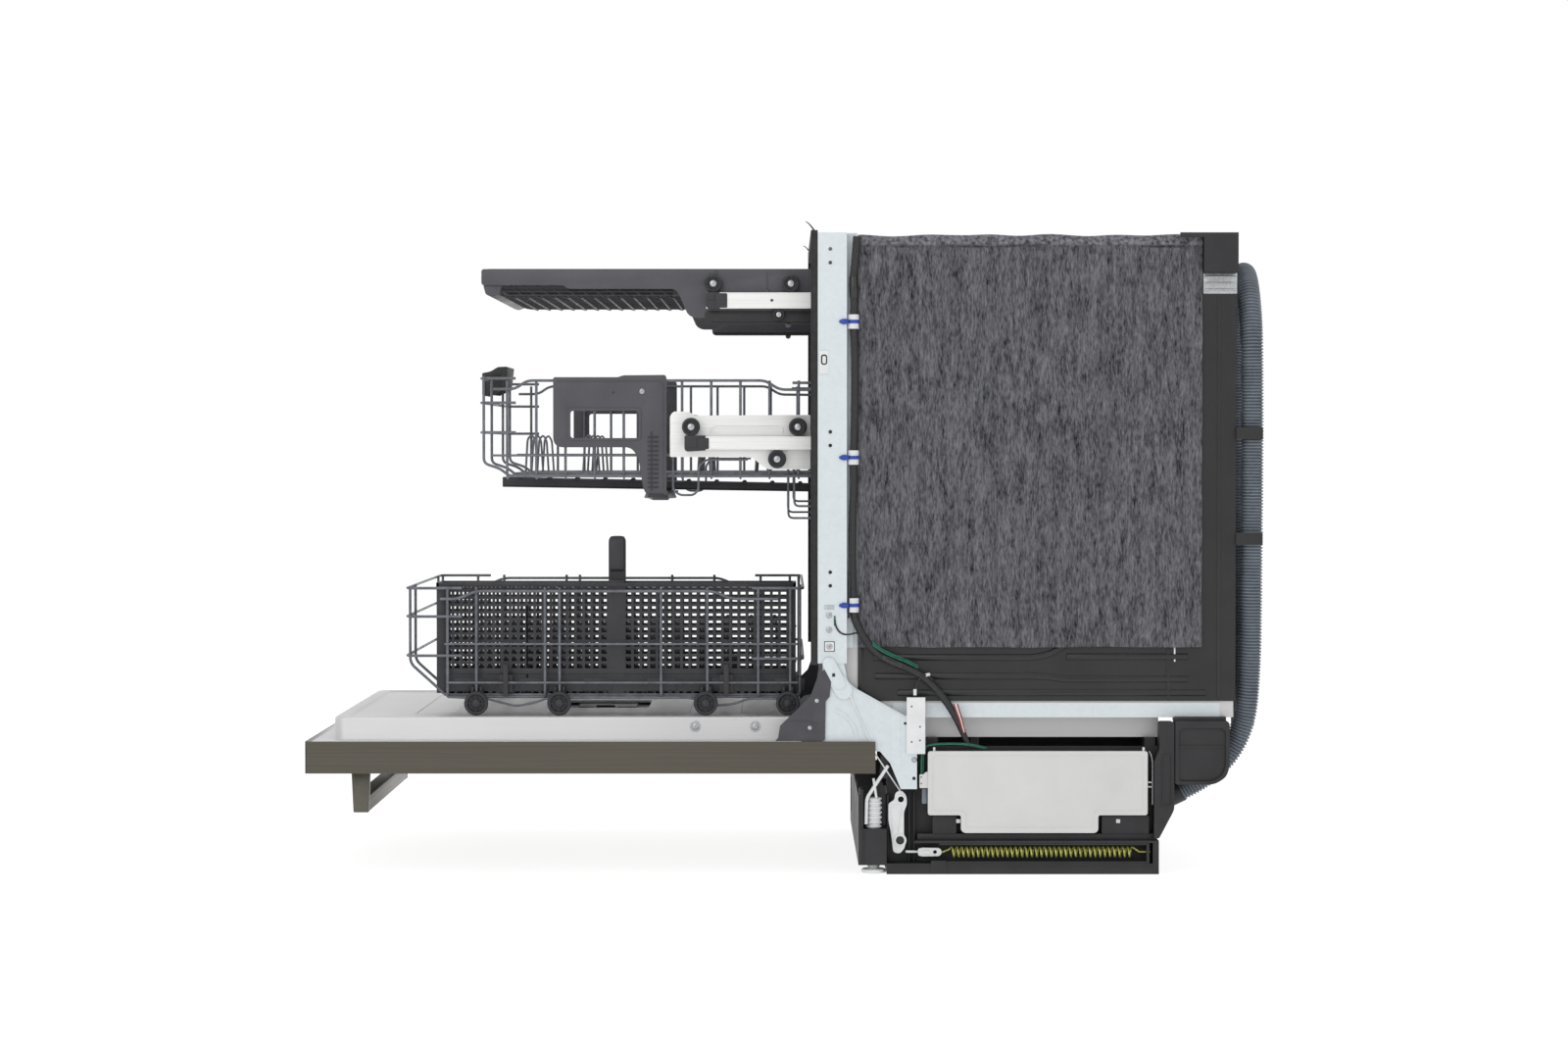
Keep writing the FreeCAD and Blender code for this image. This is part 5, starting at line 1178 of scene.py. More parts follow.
def middleRunners():
    for letter, y, z in (("a", -125.5, 593.8), ("b", 17.3, 593.8), ("c", -10.5, 550.7)):
        rollerSet("middleRoller" + letter.upper(), "middle_rollers_" + letter,
                  "middle_rollers_" + letter, y, z, 12.2, 252.6, 260.9)
    rivetCaps("middleRollerRivets", "middle_carriage",
              [(-125.5, 593.8), (17.3, 593.8), (-10.5, 550.7)], 261.0, 4.3)
    bm = bmesh.new()
    loop = roundedOutline([(-134.2, 560.5), (-106, 562.2), (-106, 582.4), (-134.2, 582.4)],
                          [6, 1, 1, 3])
    addSlab(bm, loop, "x", 251.9, 262.0)
    addSlab(bm, roundedOutline([(-115, 564), (-101.5, 564), (-101.5, 579), (-115, 579)], 2), "x",
            252.0, 262.3)
    addAlong(bm, [(262.0, -130, 566), (262.0, -118, 566), (262.0, -118, 578)], 0.6, 8)
    piece("middleRailCaps", bm, binMoulding, "middle_rails", bevel=0.5,
          mirror=True)
    lips = bmesh.new()
    for z in (564.2, 580.4):
        addAlong(lips, [(261.4, -104, z), (261.4, 366, z)], 0.8, 10)
    piece("middleRailLips", lips, railSteel, "middle_rails", mirror=True)


def feedBar():
    # the pipe that feeds the middle spray arm falls a little towards the back
    bm = bmesh.new()
    length = 24
    rings = []
    for k in range(length + 1):
        t = k / length
        y = -396 + (47 + 396) * t
        drop = -9.0 * t
        high, low = 525.0 + drop, 511.0 + drop * 0.75
        half = 13.6 if 0 < k < length else 11.5
        loop = roundedOutline([(-half, low), (half, low), (half, high), (-half, high)], 3.5, 3)
        rings.append([bm.verts.new((x, y, z)) for x, z in loop])
    addLoft(bm, rings)
    for k in range(11):
        t = (k + 0.5) / 11
        y = -390 + 430 * t
        drop = 9 * t
        addSlab(bm, roundedOutline([(y - 4, 522 - drop), (y + 6, 522 - drop),
                                    (y + 3, 527.6 - drop), (y - 1, 527.6 - drop)], 1.2),
                "x", -9, 9)
    piece("feedBar", bm, binMoulding, "middle_rack", ["middle_feed_bar"],
          bevel=0.6)


def sprayArm(name, node, body, centre, reach):
    # two tapering wings round a hub, with jets along the top
    low, high = nodeBox(node)
    bm = bmesh.new()
    rows = []
    count = 30
    for k in range(count + 1):
        t = -1 + 2 * k / count
        x = t * reach
        wide = 17.5 - 5.5 * abs(t) + (6.0 * math.exp(-(t / 0.16) ** 2))
        swing = 7.0 * t * abs(t)
        bottom = low[2] + 0.4
        top = high[2] - 1.0 - 3.2 * abs(t)
        loop = roundedOutline([(centre - wide + swing, bottom), (centre + wide + swing, bottom),
                               (centre + wide * 0.8 + swing, top),
                               (centre - wide * 0.8 + swing, top)], 2.5, 3)
        rows.append([bm.verts.new((x, y, z)) for y, z in loop])
    addLoft(bm, rows)
    for k in range(5):
        for s in (1, -1):
            t = 0.25 + 0.16 * k
            x, z = s * t * reach, high[2] - 1.0 - 3.2 * t
            spot = (x, centre + 7.0 * s * t * t + (4 if k % 2 else -4), z - 0.6)
            addTurned(bm, spot, (0, 0, 1), [(0, 1.2), (0, 4.4), (1.6, 3.2), (1.6, 1.4)], 20)
    addTurned(bm, (0, centre, high[2] - 3), (0, 0, 1),
              [(0, 0.0), (0, 19), (2.0, 17.5), (2.9, 12), (2.9, 0.0)], 36)
    piece(name, bm, rackMoulding, body, [node], bevel=0.3)


middleRackWires()
adjusterPanels()
rollerBrackets()
middleRunners()
feedBar()
sprayArm("middleSprayWings", "middle_spray_arm", "middle_spray_arm", -175.0, 206.0)
sprayArm("lowerSprayWings", "lower_spray_arm", "lower_spray_arm", 330.0, 230.0)

print("third rack")
thirdRack = {"outer": 249.0, "inner": 245.6, "top": 805.0, "front": -406.0, "rear": 40.0,
             "wire": 2.6, "crossPitch": 17.7}


def thirdRackFrame():
    t = thirdRack
    outline = [(t["front"], 805), (t["rear"], 805), (t["rear"], 735.4), (-106, 735.4),
               (-106, 739.6), (-122, 739.6), (-130, 744), (-142, 772), (-148, 778.2),
               (-290, 778.2), (-297, 783.2), (t["front"], 783.2)]
    radii = [13, 1, 1, 4, 2, 8, 10, 8, 10, 3, 3, 6]
    bm = bmesh.new()
    addSlab(bm, roundedOutline(outline, radii, 7), "x", t["inner"], t["outer"])
    addBox(bm, (t["inner"] - 9, t["front"] + 9, 802.4), (t["inner"] + 1, t["rear"], 804.9))
    runner = bmesh.new()
    bar = roundedOutline([(-107, 731), (t["rear"], 731), (t["rear"], 748.5), (-107, 748.5)],
                         [7, 0.5, 0.5, 5])
    addSlab(runner, bar, "x", t["outer"] - 0.4, t["outer"] + 1.6)
    for z in (733.6, 745.8):
        addAlong(runner, [(t["outer"] + 1.6, -98, z), (t["outer"] + 1.6, 38, z)], 0.9, 8)
    piece("thirdRackRunnerBars", runner, blackMoulding, "third_rack", bevel=0.5,
          mirror=True)
    crease = [(t["outer"], -24, 801), (t["outer"], -24, 779), (t["outer"], -20, 776)]
    addAlong(bm, bentWire(crease, 3), 0.9, 8)
    addBox(bm, (t["outer"] - 0.3, -100, 796.4), (t["outer"] + 1.0, -90, 803.5))
    addTurned(bm, (t["outer"] - 0.2, 4.8, 730.0), (1, 0, 0), [(0, 0.0), (0, 4.0), (1.8, 3.6),
                                                             (1.8, 0.0)], 20)
    piece("thirdRackSides", bm, rackMoulding, "third_rack",
                  ["third_rack_frame"], bevel=0.9, mirror=True)
    cross = bmesh.new()
    ring = roundedOutline([(t["front"], 784), (t["front"] + 6, 782.5), (t["front"] + 10, 789),
                           (t["front"] + 10, 804.8), (t["front"], 804.8)], [3, 1, 1, 1, 4])
    addSlab(cross, ring, "x", 1 - t["outer"], t["outer"] - 1)
    addBox(cross, (1 - t["outer"], t["rear"] - 5, 771), (t["outer"] - 1, t["rear"], 785))
    # a moulded lip under the front carries the deep basket
    lip = roundedOutline([(-404, 784), (-400.5, 771), (-392, 767.5), (-382, 771), (-378, 784)], 3)
    addSlab(cross, lip, "x", -246.0, 246.0)
    addBox(cross, (-7, -404.5, 804.0), (7, -360, 806.0))
    piece("thirdRackFront", cross, rackMoulding, "third_rack", bevel=1.0)
    axles = bmesh.new()
    for y, z in ((-95.8, 785.0), (7.9, 785.0), (-8.4, 743.5)):
        addRod(axles, (t["outer"] - 1, y, z), (261.6, y, z), 2.9, 20)
    piece("thirdRackAxles", axles, zincSteel, "third_rack", mirror=True)


def thirdRackBasket():
    # the deep front part has curved cross wires, the rear part lies flat
    t = thirdRack
    heavy, light = [], []
    for k in range(14):
        y = -384 + k * t["crossPitch"]
        heavy.append(bentWire([(242.5, y, 784), (242.5, y + 4, 778), (240, y + 14, 770.5),
                               (229, y + 22, 767.6), (-229, y + 22, 767.6), (-240, y + 14, 770.5),
                               (-242.5, y + 4, 778), (-242.5, y, 784)], 4))
    for s in (1, -1):
        for x, z, y0 in ((243.5, 781, -392), (242.6, 775.4, -384), (240.2, 770.5, -372)):
            light.append([(s * x, y0, z), (s * x, -150, z)])
        light.append(bentWire([(s * 243.8, -148, 783), (s * 243.8, -140, 772),
                               (s * 236, -135, 768)], 3))
    for k in range(11):
        x = -215 + 43 * k
        light.append(bentWire([(x, -401, 790), (x, -398, 779), (x, -376, 769), (x, -134, 769),
                               (x, -124, 776), (x, 32, 776)], 8))
    y = -118.0
    while y < 32:
        heavy.append([(243, y, 777.6), (-243, y, 777.6)])
        y += 18.5
    wires("thirdBasketCross", heavy, t["wire"] + 0.3, binMoulding, "third_rack",
          ["third_rack_basket"])
    wires("thirdBasketMesh", light, t["wire"], binMoulding, "third_rack")
    skirt = bmesh.new()
    # the moulded insert of the deep part, slotted like a comb
    for k in range(13):
        y = -381 + k * t["crossPitch"]
        for s in (1, -1):
            rows = []
            for x, z, lean in ((241.5, 783, 0), (241.2, 777.5, 4), (238.4, 771.5, 13)):
                rows.append([skirt.verts.new((s * x, y + lean, z)),
                             skirt.verts.new((s * x, y + lean + 13.5, z))])
            for a, b in zip(rows, rows[1:]):
                skirt.faces.new([a[0], a[1], b[1], b[0]])
    comb = piece("thirdBasketInsert", skirt, binMoulding, "third_rack",
                 smooth=False)
    thick = comb.modifiers.new("wall", "SOLIDIFY")
    thick.thickness = 1.2 * mm


def thirdRunners():
    for letter, y, z, r in (("a", -95.8, 785.0, 11.6), ("b", 7.9, 785.0, 11.6),
                            ("c", -8.4, 743.5, 7.7)):
        rollerSet("thirdRoller" + letter.upper(), "third_rollers_" + letter,
                  "third_rollers_" + letter, y, z, r, 252.6, 260.9)
    rivetCaps("thirdRollerRivets", "third_rack", [(-95.8, 785.0), (7.9, 785.0)], 261.0, 4.2)
    rivetCaps("thirdUnderRivets", "third_rack", [(-8.4, 743.5)], 261.0, 3.4)
    bm = bmesh.new()
    addSlab(bm, roundedOutline([(-105.5, 750.8), (-87, 750.8), (-87, 773.5), (-105.5, 773.5)],
                               [7, 1, 1, 3]), "x", 251.9, 262.0)
    addSlab(bm, roundedOutline([(-92, 752.5), (-77, 752.5), (-77, 772), (-92, 772)], 2), "x", 252.0,
            262.4)
    addBox(bm, (261.8, -84, 757), (262.9, -79, 768))
    addAlong(bm, bentWire([(262.0, -103, 763), (262.0, -94, 763), (262.0, -94, 770)], 2), 0.6, 8)
    piece("thirdRailCaps", bm, binMoulding, "third_rails", bevel=0.5, mirror=True)
    lips = bmesh.new()
    for z in (752.6, 772.0):
        addAlong(lips, [(261.4, -76, z), (261.4, 388, z)], 0.9, 10)
    addTurned(lips, (261.45, -17.5, 762.5), (1, 0, 0), [(0, 0.0), (0, 2.7), (0.3, 2.4),
                                                       (0.3, 0.0)], 20)
    piece("thirdRailLips", lips, railSteel, "third_rails", mirror=True)
    # a dark disc: painted shade standing for the inside of the hole in the rail lip
    hole = bmesh.new()
    addTurned(hole, (261.7, -17.5, 762.5), (1, 0, 0), [(0, 0.0), (0, 2.1), (0.15, 2.0),
                                                      (0.15, 0.0)], 20)
    piece("thirdRailHoleShade", hole, armSteel, "third_rails", mirror=True)


thirdRackFrame()
thirdRackBasket()
thirdRunners()

print("base and door springs")
springs = {"x": 286.0, "z": 28.6, "front": 222.0, "rear": 462.0, "radius": 6.7, "wire": 1.3,
           "turns": 37}


def doorSprings():
    # close-wound springs with a long hook, and the cords that run up to the hinge
    for s, side in ((1, "Right"), (-1, "Left")):
        x, z = s * springs["x"], springs["z"]
        path = [Vector((x, springs["front"] - 14, z - 1)), Vector((x, springs["front"] - 4, z + 3))]
        steps = springs["turns"] * 18
        for k in range(steps + 1):
            a = 2 * math.pi * k / 18
            y = springs["front"] + (springs["rear"] - springs["front"]) * k / steps
            path.append(Vector((x + springs["radius"] * math.sin(a), y,
                                z + springs["radius"] * math.cos(a))))
        path += [Vector((x, springs["rear"] + 5, z + 3)), Vector((x, springs["rear"] + 9, z)),
                 Vector((x, 486, z))]
        wires("doorSpring" + side, [path], springs["wire"] * 2, springCoat, "root",
              ["door_springs"] if s > 0 else ())
    cords = [[(s * 289, 153.5, 109.5), (s * 297.4, 119, 161), (s * 298.2, 86, 238)]
             for s in (1, -1)]
    wires("springCords", cords, 1.9, whiteMoulding, "root")


def doorLevers():
    outline = [(137.6, 92.9), (145.4, 98), (146.9, 107.8), (154.5, 111.2), (162, 103.2),
               (162, 90.4), (158.2, 82.7), (158.2, 51.9), (160.8, 44.2), (159.5, 33.9),
               (153, 26.2), (144, 28), (141.3, 51.9), (137.6, 69.8)]
    bm = bmesh.new()
    addSlab(bm, roundedOutline(outline, [3, 2, 4, 5, 6, 6, 5, 4, 4, 5, 4, 4, 4, 4]), "x", 284.0,
            288.0, [circle((154.2, 98.6), 4.0), circle((153.0, 44.0), 5.3)])
    ring = circle((153.0, 44.0), 8.6)
    addSlab(bm, ring, "x", 287.6, 289.4, [circle((153.0, 44.0), 5.4)])
    addSlab(bm, circle((154.2, 98.6), 6.6), "x", 287.6, 289.0, [circle((154.2, 98.6), 4.2)])
    addBox(bm, (287.6, 140.0, 88.0), (289.2, 152.0, 91.0))
    addAlong(bm, [(288.0, 150.5, 54), (288.0, 156, 90)], 1.0, 8)
    addAlong(bm, [(288.0, 143.4, 54), (288.0, 140.4, 84)], 1.0, 8)
    piece("doorLeverArms", bm, whiteMoulding, "levers", ["door_levers"],
          bevel=0.5, mirror=True)
    rods = bmesh.new()
    addRod(rods, (286, 160.5, 28.8), (286, 178, 28.6), 1.7, 16)
    loop = roundedOutline([(177, 24), (183, 22.8), (205, 23.2), (208, 26), (208, 31.4), (205, 34),
                           (183, 34.4), (177, 33)], 2)
    addSlab(rods, loop, "x", 281.5, 290.5, [circle((199.5, 28.6), 2.6)])
    addSlab(rods, roundedOutline([(185, 26), (192, 26), (192, 31), (185, 31)], 1), "x", 290.3,
            291.2)
    piece("springClevises", rods, whiteMoulding, "spring_rods", ["spring_rods"],
          bevel=0.5, mirror=True)


def baseDetails():
    bm = bmesh.new()
    # rear post with its sloping foot
    post = roundedOutline([(497, 202), (516.8, 202), (516.8, 86), (513.5, 79), (496.8, 47.5),
                           (490, 47.5), (490, 150), (497, 165)], [4, 4, 4, 3, 2, 1, 1, 2])
    addSlab(bm, post, "x", 269.5, 297.6)
    rim = roundedOutline([(500, 160), (514, 160), (514, 90), (500, 90)], 3)
    inner = roundedOutline([(502, 158), (512, 158), (512, 92), (502, 92)], 2)
    addSlab(bm, rim, "x", 297.2, 298.6, [inner])
    # ribs and steps of the shelf under the control box
    for y in (196.0, 262.0, 330.0, 398.0, 470.0):
        addBox(bm, (272.0, y, 44.4), (289.0, y + 2.4, 53.5))
    addBox(bm, (269.2, 176.0, 44.4), (289.8, 492.0, 53.0))
    for y0, y1 in ((196, 228), (421, 484)):
        addSlab(bm, roundedOutline([(y0, 53), (y1, 53), (y1, 77), (y0, 77)], 2), "x", 269.2,
                291.0)
    addBox(bm, (297.6, 140.0, 9.0), (298.6, 490.0, 11.0))
    addSlab(bm, roundedOutline([(192, 0.6), (216, 0.6), (214, 18), (194, 18)], 2), "x", 296.0,
            298.8)
    # spring channel: end stop, lips
    addBox(bm, (276.0, 480.0, 14.0), (297.4, 484.0, 41.4))
    addBox(bm, (296.2, 205.0, 14.0), (297.6, 480.0, 17.0))
    addBox(bm, (296.2, 205.0, 38.6), (297.6, 480.0, 41.4))
    # upright ribs behind the lever
    for y in (164.5, 171.0):
        addBox(bm, (269.0, y, 14.2), (280.5, y + 1.8, 108.0))
    addBox(bm, (269.0, 136.0, 14.2), (279.0, 138.5, 104.0))
    addSlab(bm, roundedOutline([(99, 60), (104, 60), (104, 113), (99, 113)], 1), "x", 262.0,
            297.6)
    addAlong(bm, [(298.0, 104.5, 14), (298.0, 104.5, 58)], 1.2, 8)
    addSlab(bm, roundedOutline([(121, 62), (134.5, 62), (134.5, 108), (128, 124), (121, 124)], 2),
            "x", 269.5, 276.0)
    piece("baseRibs", bm, blackMoulding, "root", bevel=0.8, mirror=True)
    boss = bmesh.new()
    addTurned(boss, (284.0, 153, 44), (1, 0, 0), [(0, 0.0), (0, 4.9), (7.2, 4.9), (7.8, 4.3),
                                                 (7.8, 0.0)], 28)
    piece("leverPins", boss, blackMoulding, "root", mirror=True)
    arms = bmesh.new()
    route = bentWire([(292.6, 137, 144), (292.6, 126.5, 128), (292.6, 108.5, 100.5),
                      (292.6, 107.6, 66)], 5)
    addAlong(arms, route, 2.3, 10)
    addAlong(arms, [(292.6, 117.5, 127), (292.6, 121.5, 101)], 1.6, 10)
    for v in arms.verts:
        v.co.x = 292.6 + (v.co.x - 292.6) * 0.7
    piece("tiltArms", arms, whiteMoulding, "root", mirror=True)
    clip = bmesh.new()
    addSlab(clip, roundedOutline([(126.5, 127), (137.5, 127), (137.5, 148), (134, 158),
                                  (126.5, 158)], 3), "x", 283.0, 291.0)
    piece("frontClips", clip, blackMoulding, "root", bevel=0.8, mirror=True)


def levellingFeet():
    bm = bmesh.new()
    spot = (280.0, 118, 0)
    addTurned(bm, spot, (0, 0, 1), [(0, 0.0), (0, 15.2), (1.4, 16.3), (4.6, 16.3), (6.0, 14.8),
                                    (6.0, 0.0)], 40)
    shape = [(5.8, 0.0), (5.8, 8.2)]
    z = 6.5
    while z < 60:  # the screw's own thread
        shape += [(z, 8.3), (z + 1.2, 7.3), (z + 2.4, 8.3)]
        z += 3.0
    shape += [(61.0, 8.3), (61.4, 11.0)]
    z = 62.2
    while z < 98:  # the coarser collar above it
        shape += [(z, 11.2), (z + 1.0, 9.3), (z + 3.6, 9.3), (z + 4.6, 11.2)]
        z += 6.4
    shape += [(100.0, 10.8), (100.8, 9.0), (100.8, 0.0)]
    addTurned(bm, spot, (0, 0, 1), shape, 36)
    piece("levellingFeetTurned", bm, whiteMoulding, "root", ["levelling_feet"],
          mirror=True)
    rear = bmesh.new()
    addTurned(rear, (0, 462, 0), (0, 0, 1), [(0, 0.0), (0, 15.2), (1.4, 16.3), (4.6, 16.3),
                                            (6.0, 14.8), (6.0, 8.4), (40.0, 8.4), (40.0, 0.0)], 36)
    piece("rearFoot", rear, whiteMoulding, "root")


def controlBox():
    outline = [(189.6, 163.4), (481.5, 163.4), (481.5, 78.2), (416, 78.2), (416, 58), (412, 54.6),
               (238, 54.6), (233.6, 58), (233.6, 78.2), (189.6, 78.2)]
    radii = [4, 4, 4, 3, 3, 3, 3, 3, 3, 4]
    bm = bmesh.new()
    addSlab(bm, roundedOutline(outline, radii), "x", 292.0, 297.3)
    addSlab(bm, roundedOutline([(178.6, 114.2), (190.5, 114.2), (190.5, 135.8), (187, 135.8),
                                (184, 132.5), (178.6, 132.5)], 1.5), "x", 291.5, 295.8)
    for y in (196.5, 474.5):
        addSlab(bm, roundedOutline([(y, 163), (y + 3.2, 163), (y + 3.2, 168.5), (y, 168.5)], 1),
                "x", 291.5, 295.0)
    for y in (227.5, 440.0):
        addSlab(bm, roundedOutline([(y, 67.5), (y + 5.4, 67.5), (y + 5.4, 72.8), (y, 72.8)], 0.8),
                "x", 290.8, 293.4)
    for z in (121.0, 115.0):
        addBox(bm, (291.0, 481.0, z), (294.5, 487.0, z + 1.6))
    piece("controlCoverShell", bm, coverMoulding, "root", ["control_cover"],
          bevel=0.8)
    soft = bmesh.new()
    rim = roundedOutline([(196, 158), (475, 158), (475, 84), (410, 84), (410, 62), (240, 62),
                          (240, 84), (196, 84)], 5)
    addAlong(soft, [(297.25, y, z) for y, z in rim + [rim[0]]], 0.5, 8, capped=False)
    for y, z in ((214, 106), (346, 106)):
        addTurned(soft, (297.2, y, z), (1, 0, 0),
                  [(0, 0.0), (0, 2.6), (0.25, 2.4), (0.25, 0.0)], 22)
    piece("controlCoverRelief", soft, coverMoulding, "root")
    clip = bentWire([(293.0, 483.2, 163), (293.0, 485.8, 160), (293.0, 488.2, 150),
                     (293.0, 488.2, 92)], 4)
    wires("coverSpringClip", [clip], 1.6, zincSteel, "root")
    # dark discs: painted shade standing for the inside of the holes in the tab
    dots = bmesh.new()
    for y, z in ((181.0, 129.0), (181.0, 120.5)):
        addTurned(dots, (295.75, y, z), (1, 0, 0), [(0, 0.0), (0, 1.1), (0.1, 1.0), (0.1, 0.0)], 16)
    piece("coverTabHoleShade", dots, armSteel, "root")
    side = bmesh.new()
    addSlab(side, roundedOutline([(182, 93), (188.6, 93), (188.6, 113), (182, 113)], 1.5), "x",
            286.0, 292.0)
    piece("coverSideCatch", side, hosePlastic, "root", bevel=0.4)


def rearHousing():
    outline = [(518, 203.6), (590, 203.6), (590, 143), (586, 129), (570, 119), (518, 119)]
    radii = [3, 6, 6, 8, 8, 4]
    bm = bmesh.new()
    rim = roundedOutline(outline, radii, 7)
    addSlab(bm, rim, "x", 262.4, 295.6)
    hollow = roundedOutline([(523, 194), (585, 194), (585, 144), (581, 132), (568, 123.6),
                             (523, 123.6)], [8, 8, 6, 7, 6, 5], 7)
    addSlab(bm, rim, "x", 295.2, 297.8, [hollow])
    addBox(bm, (264.0, 517.5, 203.0), (292.0, 586.0, 208.4))
    addSlab(bm, roundedOutline([(523, 168), (583, 168), (583, 171), (523, 171)], 1.2), "x", 295.4,
            296.6)
    piece("rearHousingShell", bm, blackMoulding, "root", ["rear_housing"],
          bevel=0.9)


doorSprings()
doorLevers()
baseDetails()
levellingFeet()
controlBox()
rearHousing()

print("drain hose")
hose = {"radius": 15.4, "groove": 2.6, "pitch": 4.2, "sides": 26, "plainEnd": 46,
        "route": [(232, 530, 106), (240, 575, 128), (246, 615, 186), (256, 621.5, 266),
                  (264, 622, 380), (263, 623, 520), (265, 623, 650), (262, 622, 736),
                  (222, 620, 800), (160, 620, 802), (112, 620, 740), (118, 620, 640),
                  (150, 620, 510), (180, 620, 380), (190, 620, 270), (192, 620, 190)]}


def drainHose():
    points = smoothRoute("hoseRoute", hose["route"], hose["pitch"] / 6)
    crest = (1.0, 0.97, 0.3, 0.0, 0.3, 0.97)
    radii = [hose["radius"] - hose["groove"] * (1 - crest[i % 6]) for i in range(len(points))]
    for i in range(len(points) - hose["plainEnd"], len(points)):
        radii[i] = hose["radius"] - 0.6
    bm = bmesh.new()
    addAlong(bm, points, radii, hose["sides"])
    piece("drainHoseBellows", bm, hosePlastic, "root", ["drain_hose"])
    ends = bmesh.new()
    last = points[-1]
    addTurned(ends, last + Vector((0, 0, -1)), (0, 0, 1), [(0, 12.0), (0, 15.6), (26, 15.6),
                                                          (28, 14.2), (28, 12.0)], 36)
    first = points[0]
    back = (first - points[8]).normalized()
    addTurned(ends, first - back * 3, back, [(0, 12.4), (0, 16.2), (24, 16.2), (26, 14.6),
                                             (26, 12.4)], 36)
    piece("hoseCuff", ends, blackMoulding, "root", bevel=0.3)


drainHose()

print("wire bundle")
bundle = {"radius": 5.1, "clips": (733.0, 553.0, 357.0), "leadPoints": 12,
          "route": [(291.6, 95.5, 846), (291.4, 93.6, 816), (290.8, 89.4, 783),
                    (290.6, 92.2, 760), (290.5, 90.6, 733), (290.6, 92.6, 698),
                    (290.6, 92.9, 640), (290.5, 92.2, 590), (290.5, 90.6, 553),
                    (290.6, 91.4, 520), (290.5, 89.6, 468), (290.5, 89.4, 412),
                    (290.5, 90.6, 357), (290.6, 92.5, 334), (294, 122, 288), (293.5, 172, 272),
                    (291.5, 208, 240), (288, 232, 200), (284, 243, 172)]}


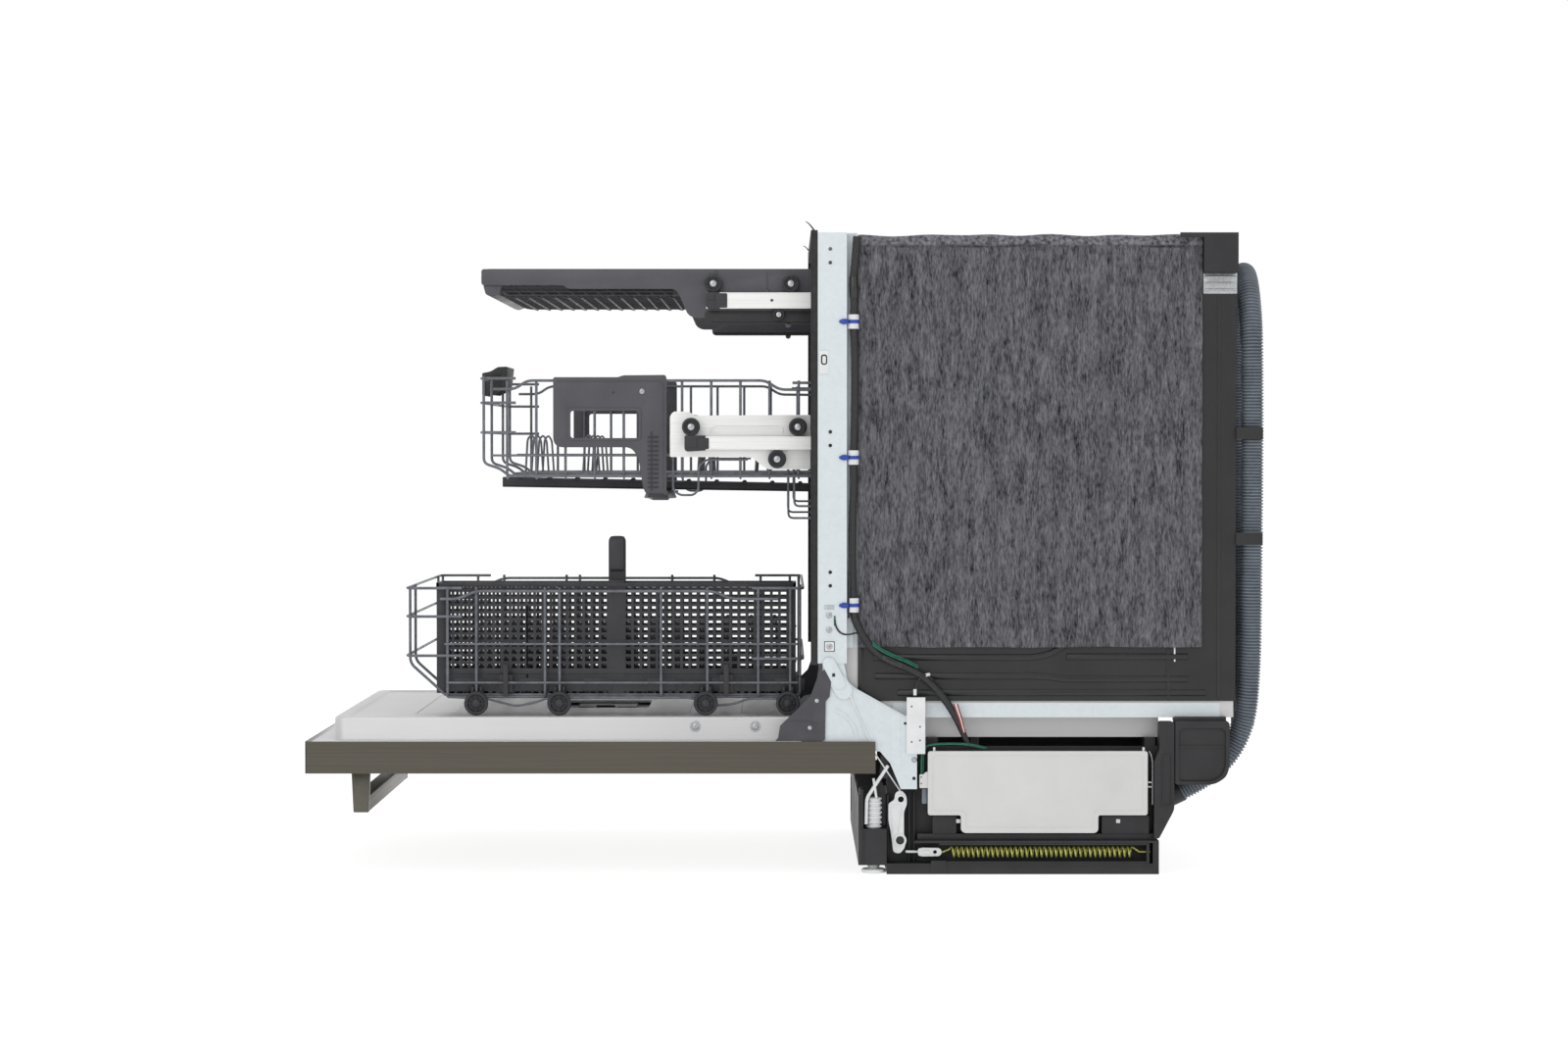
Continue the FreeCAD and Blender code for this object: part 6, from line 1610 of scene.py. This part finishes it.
def wireBundle():
    points = smoothRoute("bundleRoute", bundle["route"], 2.4)
    radii = []
    for i, p in enumerate(points):
        swell = 1.0 + 0.05 * noise.noise(p * 0.06) + 0.02 * math.sin(i * 1.9)
        taper = min(1.0, 0.72 + 0.28 * (len(points) - 1 - i) / 26)
        radii.append(bundle["radius"] * swell * taper)
    bm = bmesh.new()
    addAlong(bm, points, radii, 16)
    piece("bundleSleeve", bm, cableSleeve, "root", ["wire_harness"])
    # tape turns over the sleeve
    tape = bmesh.new()
    for start in (22, 238):
        a, b = points[start], points[min(start + 12, len(points) - 1)]
        addRod(tape, a, b, bundle["radius"] + 0.7, 20)
    piece("bundleTape", tape, stripBlack, "root", bevel=0.3)
    # a second, thinner lead follows the bundle down the frame
    lead = [(p[0] + 3.6, p[1] - 2.2 - 1.6 * (k % 2), p[2]) for k, p in
            enumerate(bundle["route"][:bundle["leadPoints"]])]
    lead[-1] = (294.8, 84.5, 340)
    wires("bundleLead", [smoothRoute("leadRoute", lead, 6.0)], 3.4, cableSleeve, "root")
    earth = [(297.6, 66, 338), (297.8, 66.5, 330), (297.6, 74, 319), (296.5, 86, 318),
             (295.5, 97, 322), (294, 107, 312)]
    wires("earthLoop", [smoothRoute("earthRoute", earth, 2.0)], 2.6, cableSleeve, "root")
    wires("earthLoopEnd", [[(297.7, 66, 343), (297.7, 66, 330)]], 2.2, greenWire, "root")
    green = []
    for lift, depth in ((0.0, 298.6), (2.6, 297.4)):
        route = [(depth - 2.0, 116, 305 + lift), (depth, 126, 297 + lift),
                 (depth, 146, 287.5 + lift), (depth, 164, 281.0 + lift),
                 (depth - 3.0, 176, 274 + lift)]
        green.append(smoothRoute("greenRoute", route, 2.0))
    top = [(293.0, 181, 128), (293.0, 181, 152), (293.2, 183, 168), (293.0, 194, 172),
           (291.8, 232, 172.6), (290, 252, 170), (287, 266, 165.5)]
    green.append(smoothRoute("greenTop", top, 2.0))
    green.append([(p[0] - 2.2, p[1] + 2.4, p[2] + 0.8) for p in green[-1]])
    wires("greenWires", green, 2.5, greenWire, "root")
    for name, finish, shift in (("redLead", redWire, -2.2), ("whiteLead", whiteMoulding, 0.6),
                                ("brownLead", redWire, 3.0)):
        path = [(293.6, 226 + shift, 226), (292.2, 233 + shift * 0.8, 205),
                (290.0, 238 + shift * 0.5, 188)]
        wires(name, [path], 1.7, finish, "root")
    cable = [(298.2, 172, 234), (298.2, 173, 252), (297.8, 180, 262), (296.4, 188, 266),
             (294.6, 196, 258)]
    wires("guideCable", [smoothRoute("guideCable", cable, 2.0)], 2.8, cableSleeve, "root")
    tie = bmesh.new()
    addTurned(tie, (297.8, 186.5, 264.4), Vector((-0.6, 1, 0.2)), [(0, 1.5), (0, 2.2), (6, 2.2),
                                                                  (6, 1.5)], 16)
    addTurned(tie, (298.2, 172.4, 238.0), (0, 0, 1), [(0, 1.5), (0, 2.3), (8, 2.3), (8, 1.5)], 16)
    piece("guideCableSleeves", tie, whiteMoulding, "root")


def tubEdgeFlange():
    # a folded steel edge stands behind the bundle
    bm = bmesh.new()
    addBox(bm, (280.6, 80.2, 300.0), (282.0, 91.0, 846.0))
    piece("tubEdgeFlange", bm, galvanised, "root", bevel=0.3, mirror=True)


tubEdgeFlange()


def bundleClips():
    sleeve, tie = bmesh.new(), bmesh.new()
    for z in bundle["clips"]:
        addTurned(sleeve, (290.5, 90.5, z - 9.5), (0, 0, 1),
                  [(0, 5.9), (0, 7.2), (0.8, 7.5), (18.2, 7.5), (19, 7.2), (19, 5.9)], 26)
        addTurned(tie, (290.5, 90.5, z - 2.4), (0, 0, 1), [(0, 7.3), (0, 8.5), (4.8, 8.5),
                                                          (4.8, 7.3)], 26)
        head = roundedOutline([(71.5, z - 1.2), (76, z - 3.6), (80, z - 3.6), (84, z - 3.0),
                               (84, z + 3.0), (80, z + 3.6), (76, z + 3.6), (71.5, z + 1.2)], 1.0)
        addSlab(tie, head, "x", 297.3, 299.3)
        addBox(tie, (291.5, 79.0, z - 2.2), (298.6, 84.4, z + 2.2))
    piece("bundleClipSleeves", sleeve, whiteMoulding, "root", ["harness_clips"],
          bevel=0.2)
    piece("bundleTies", tie, blueTie, "root", bevel=0.3)


wireBundle()
bundleClips()
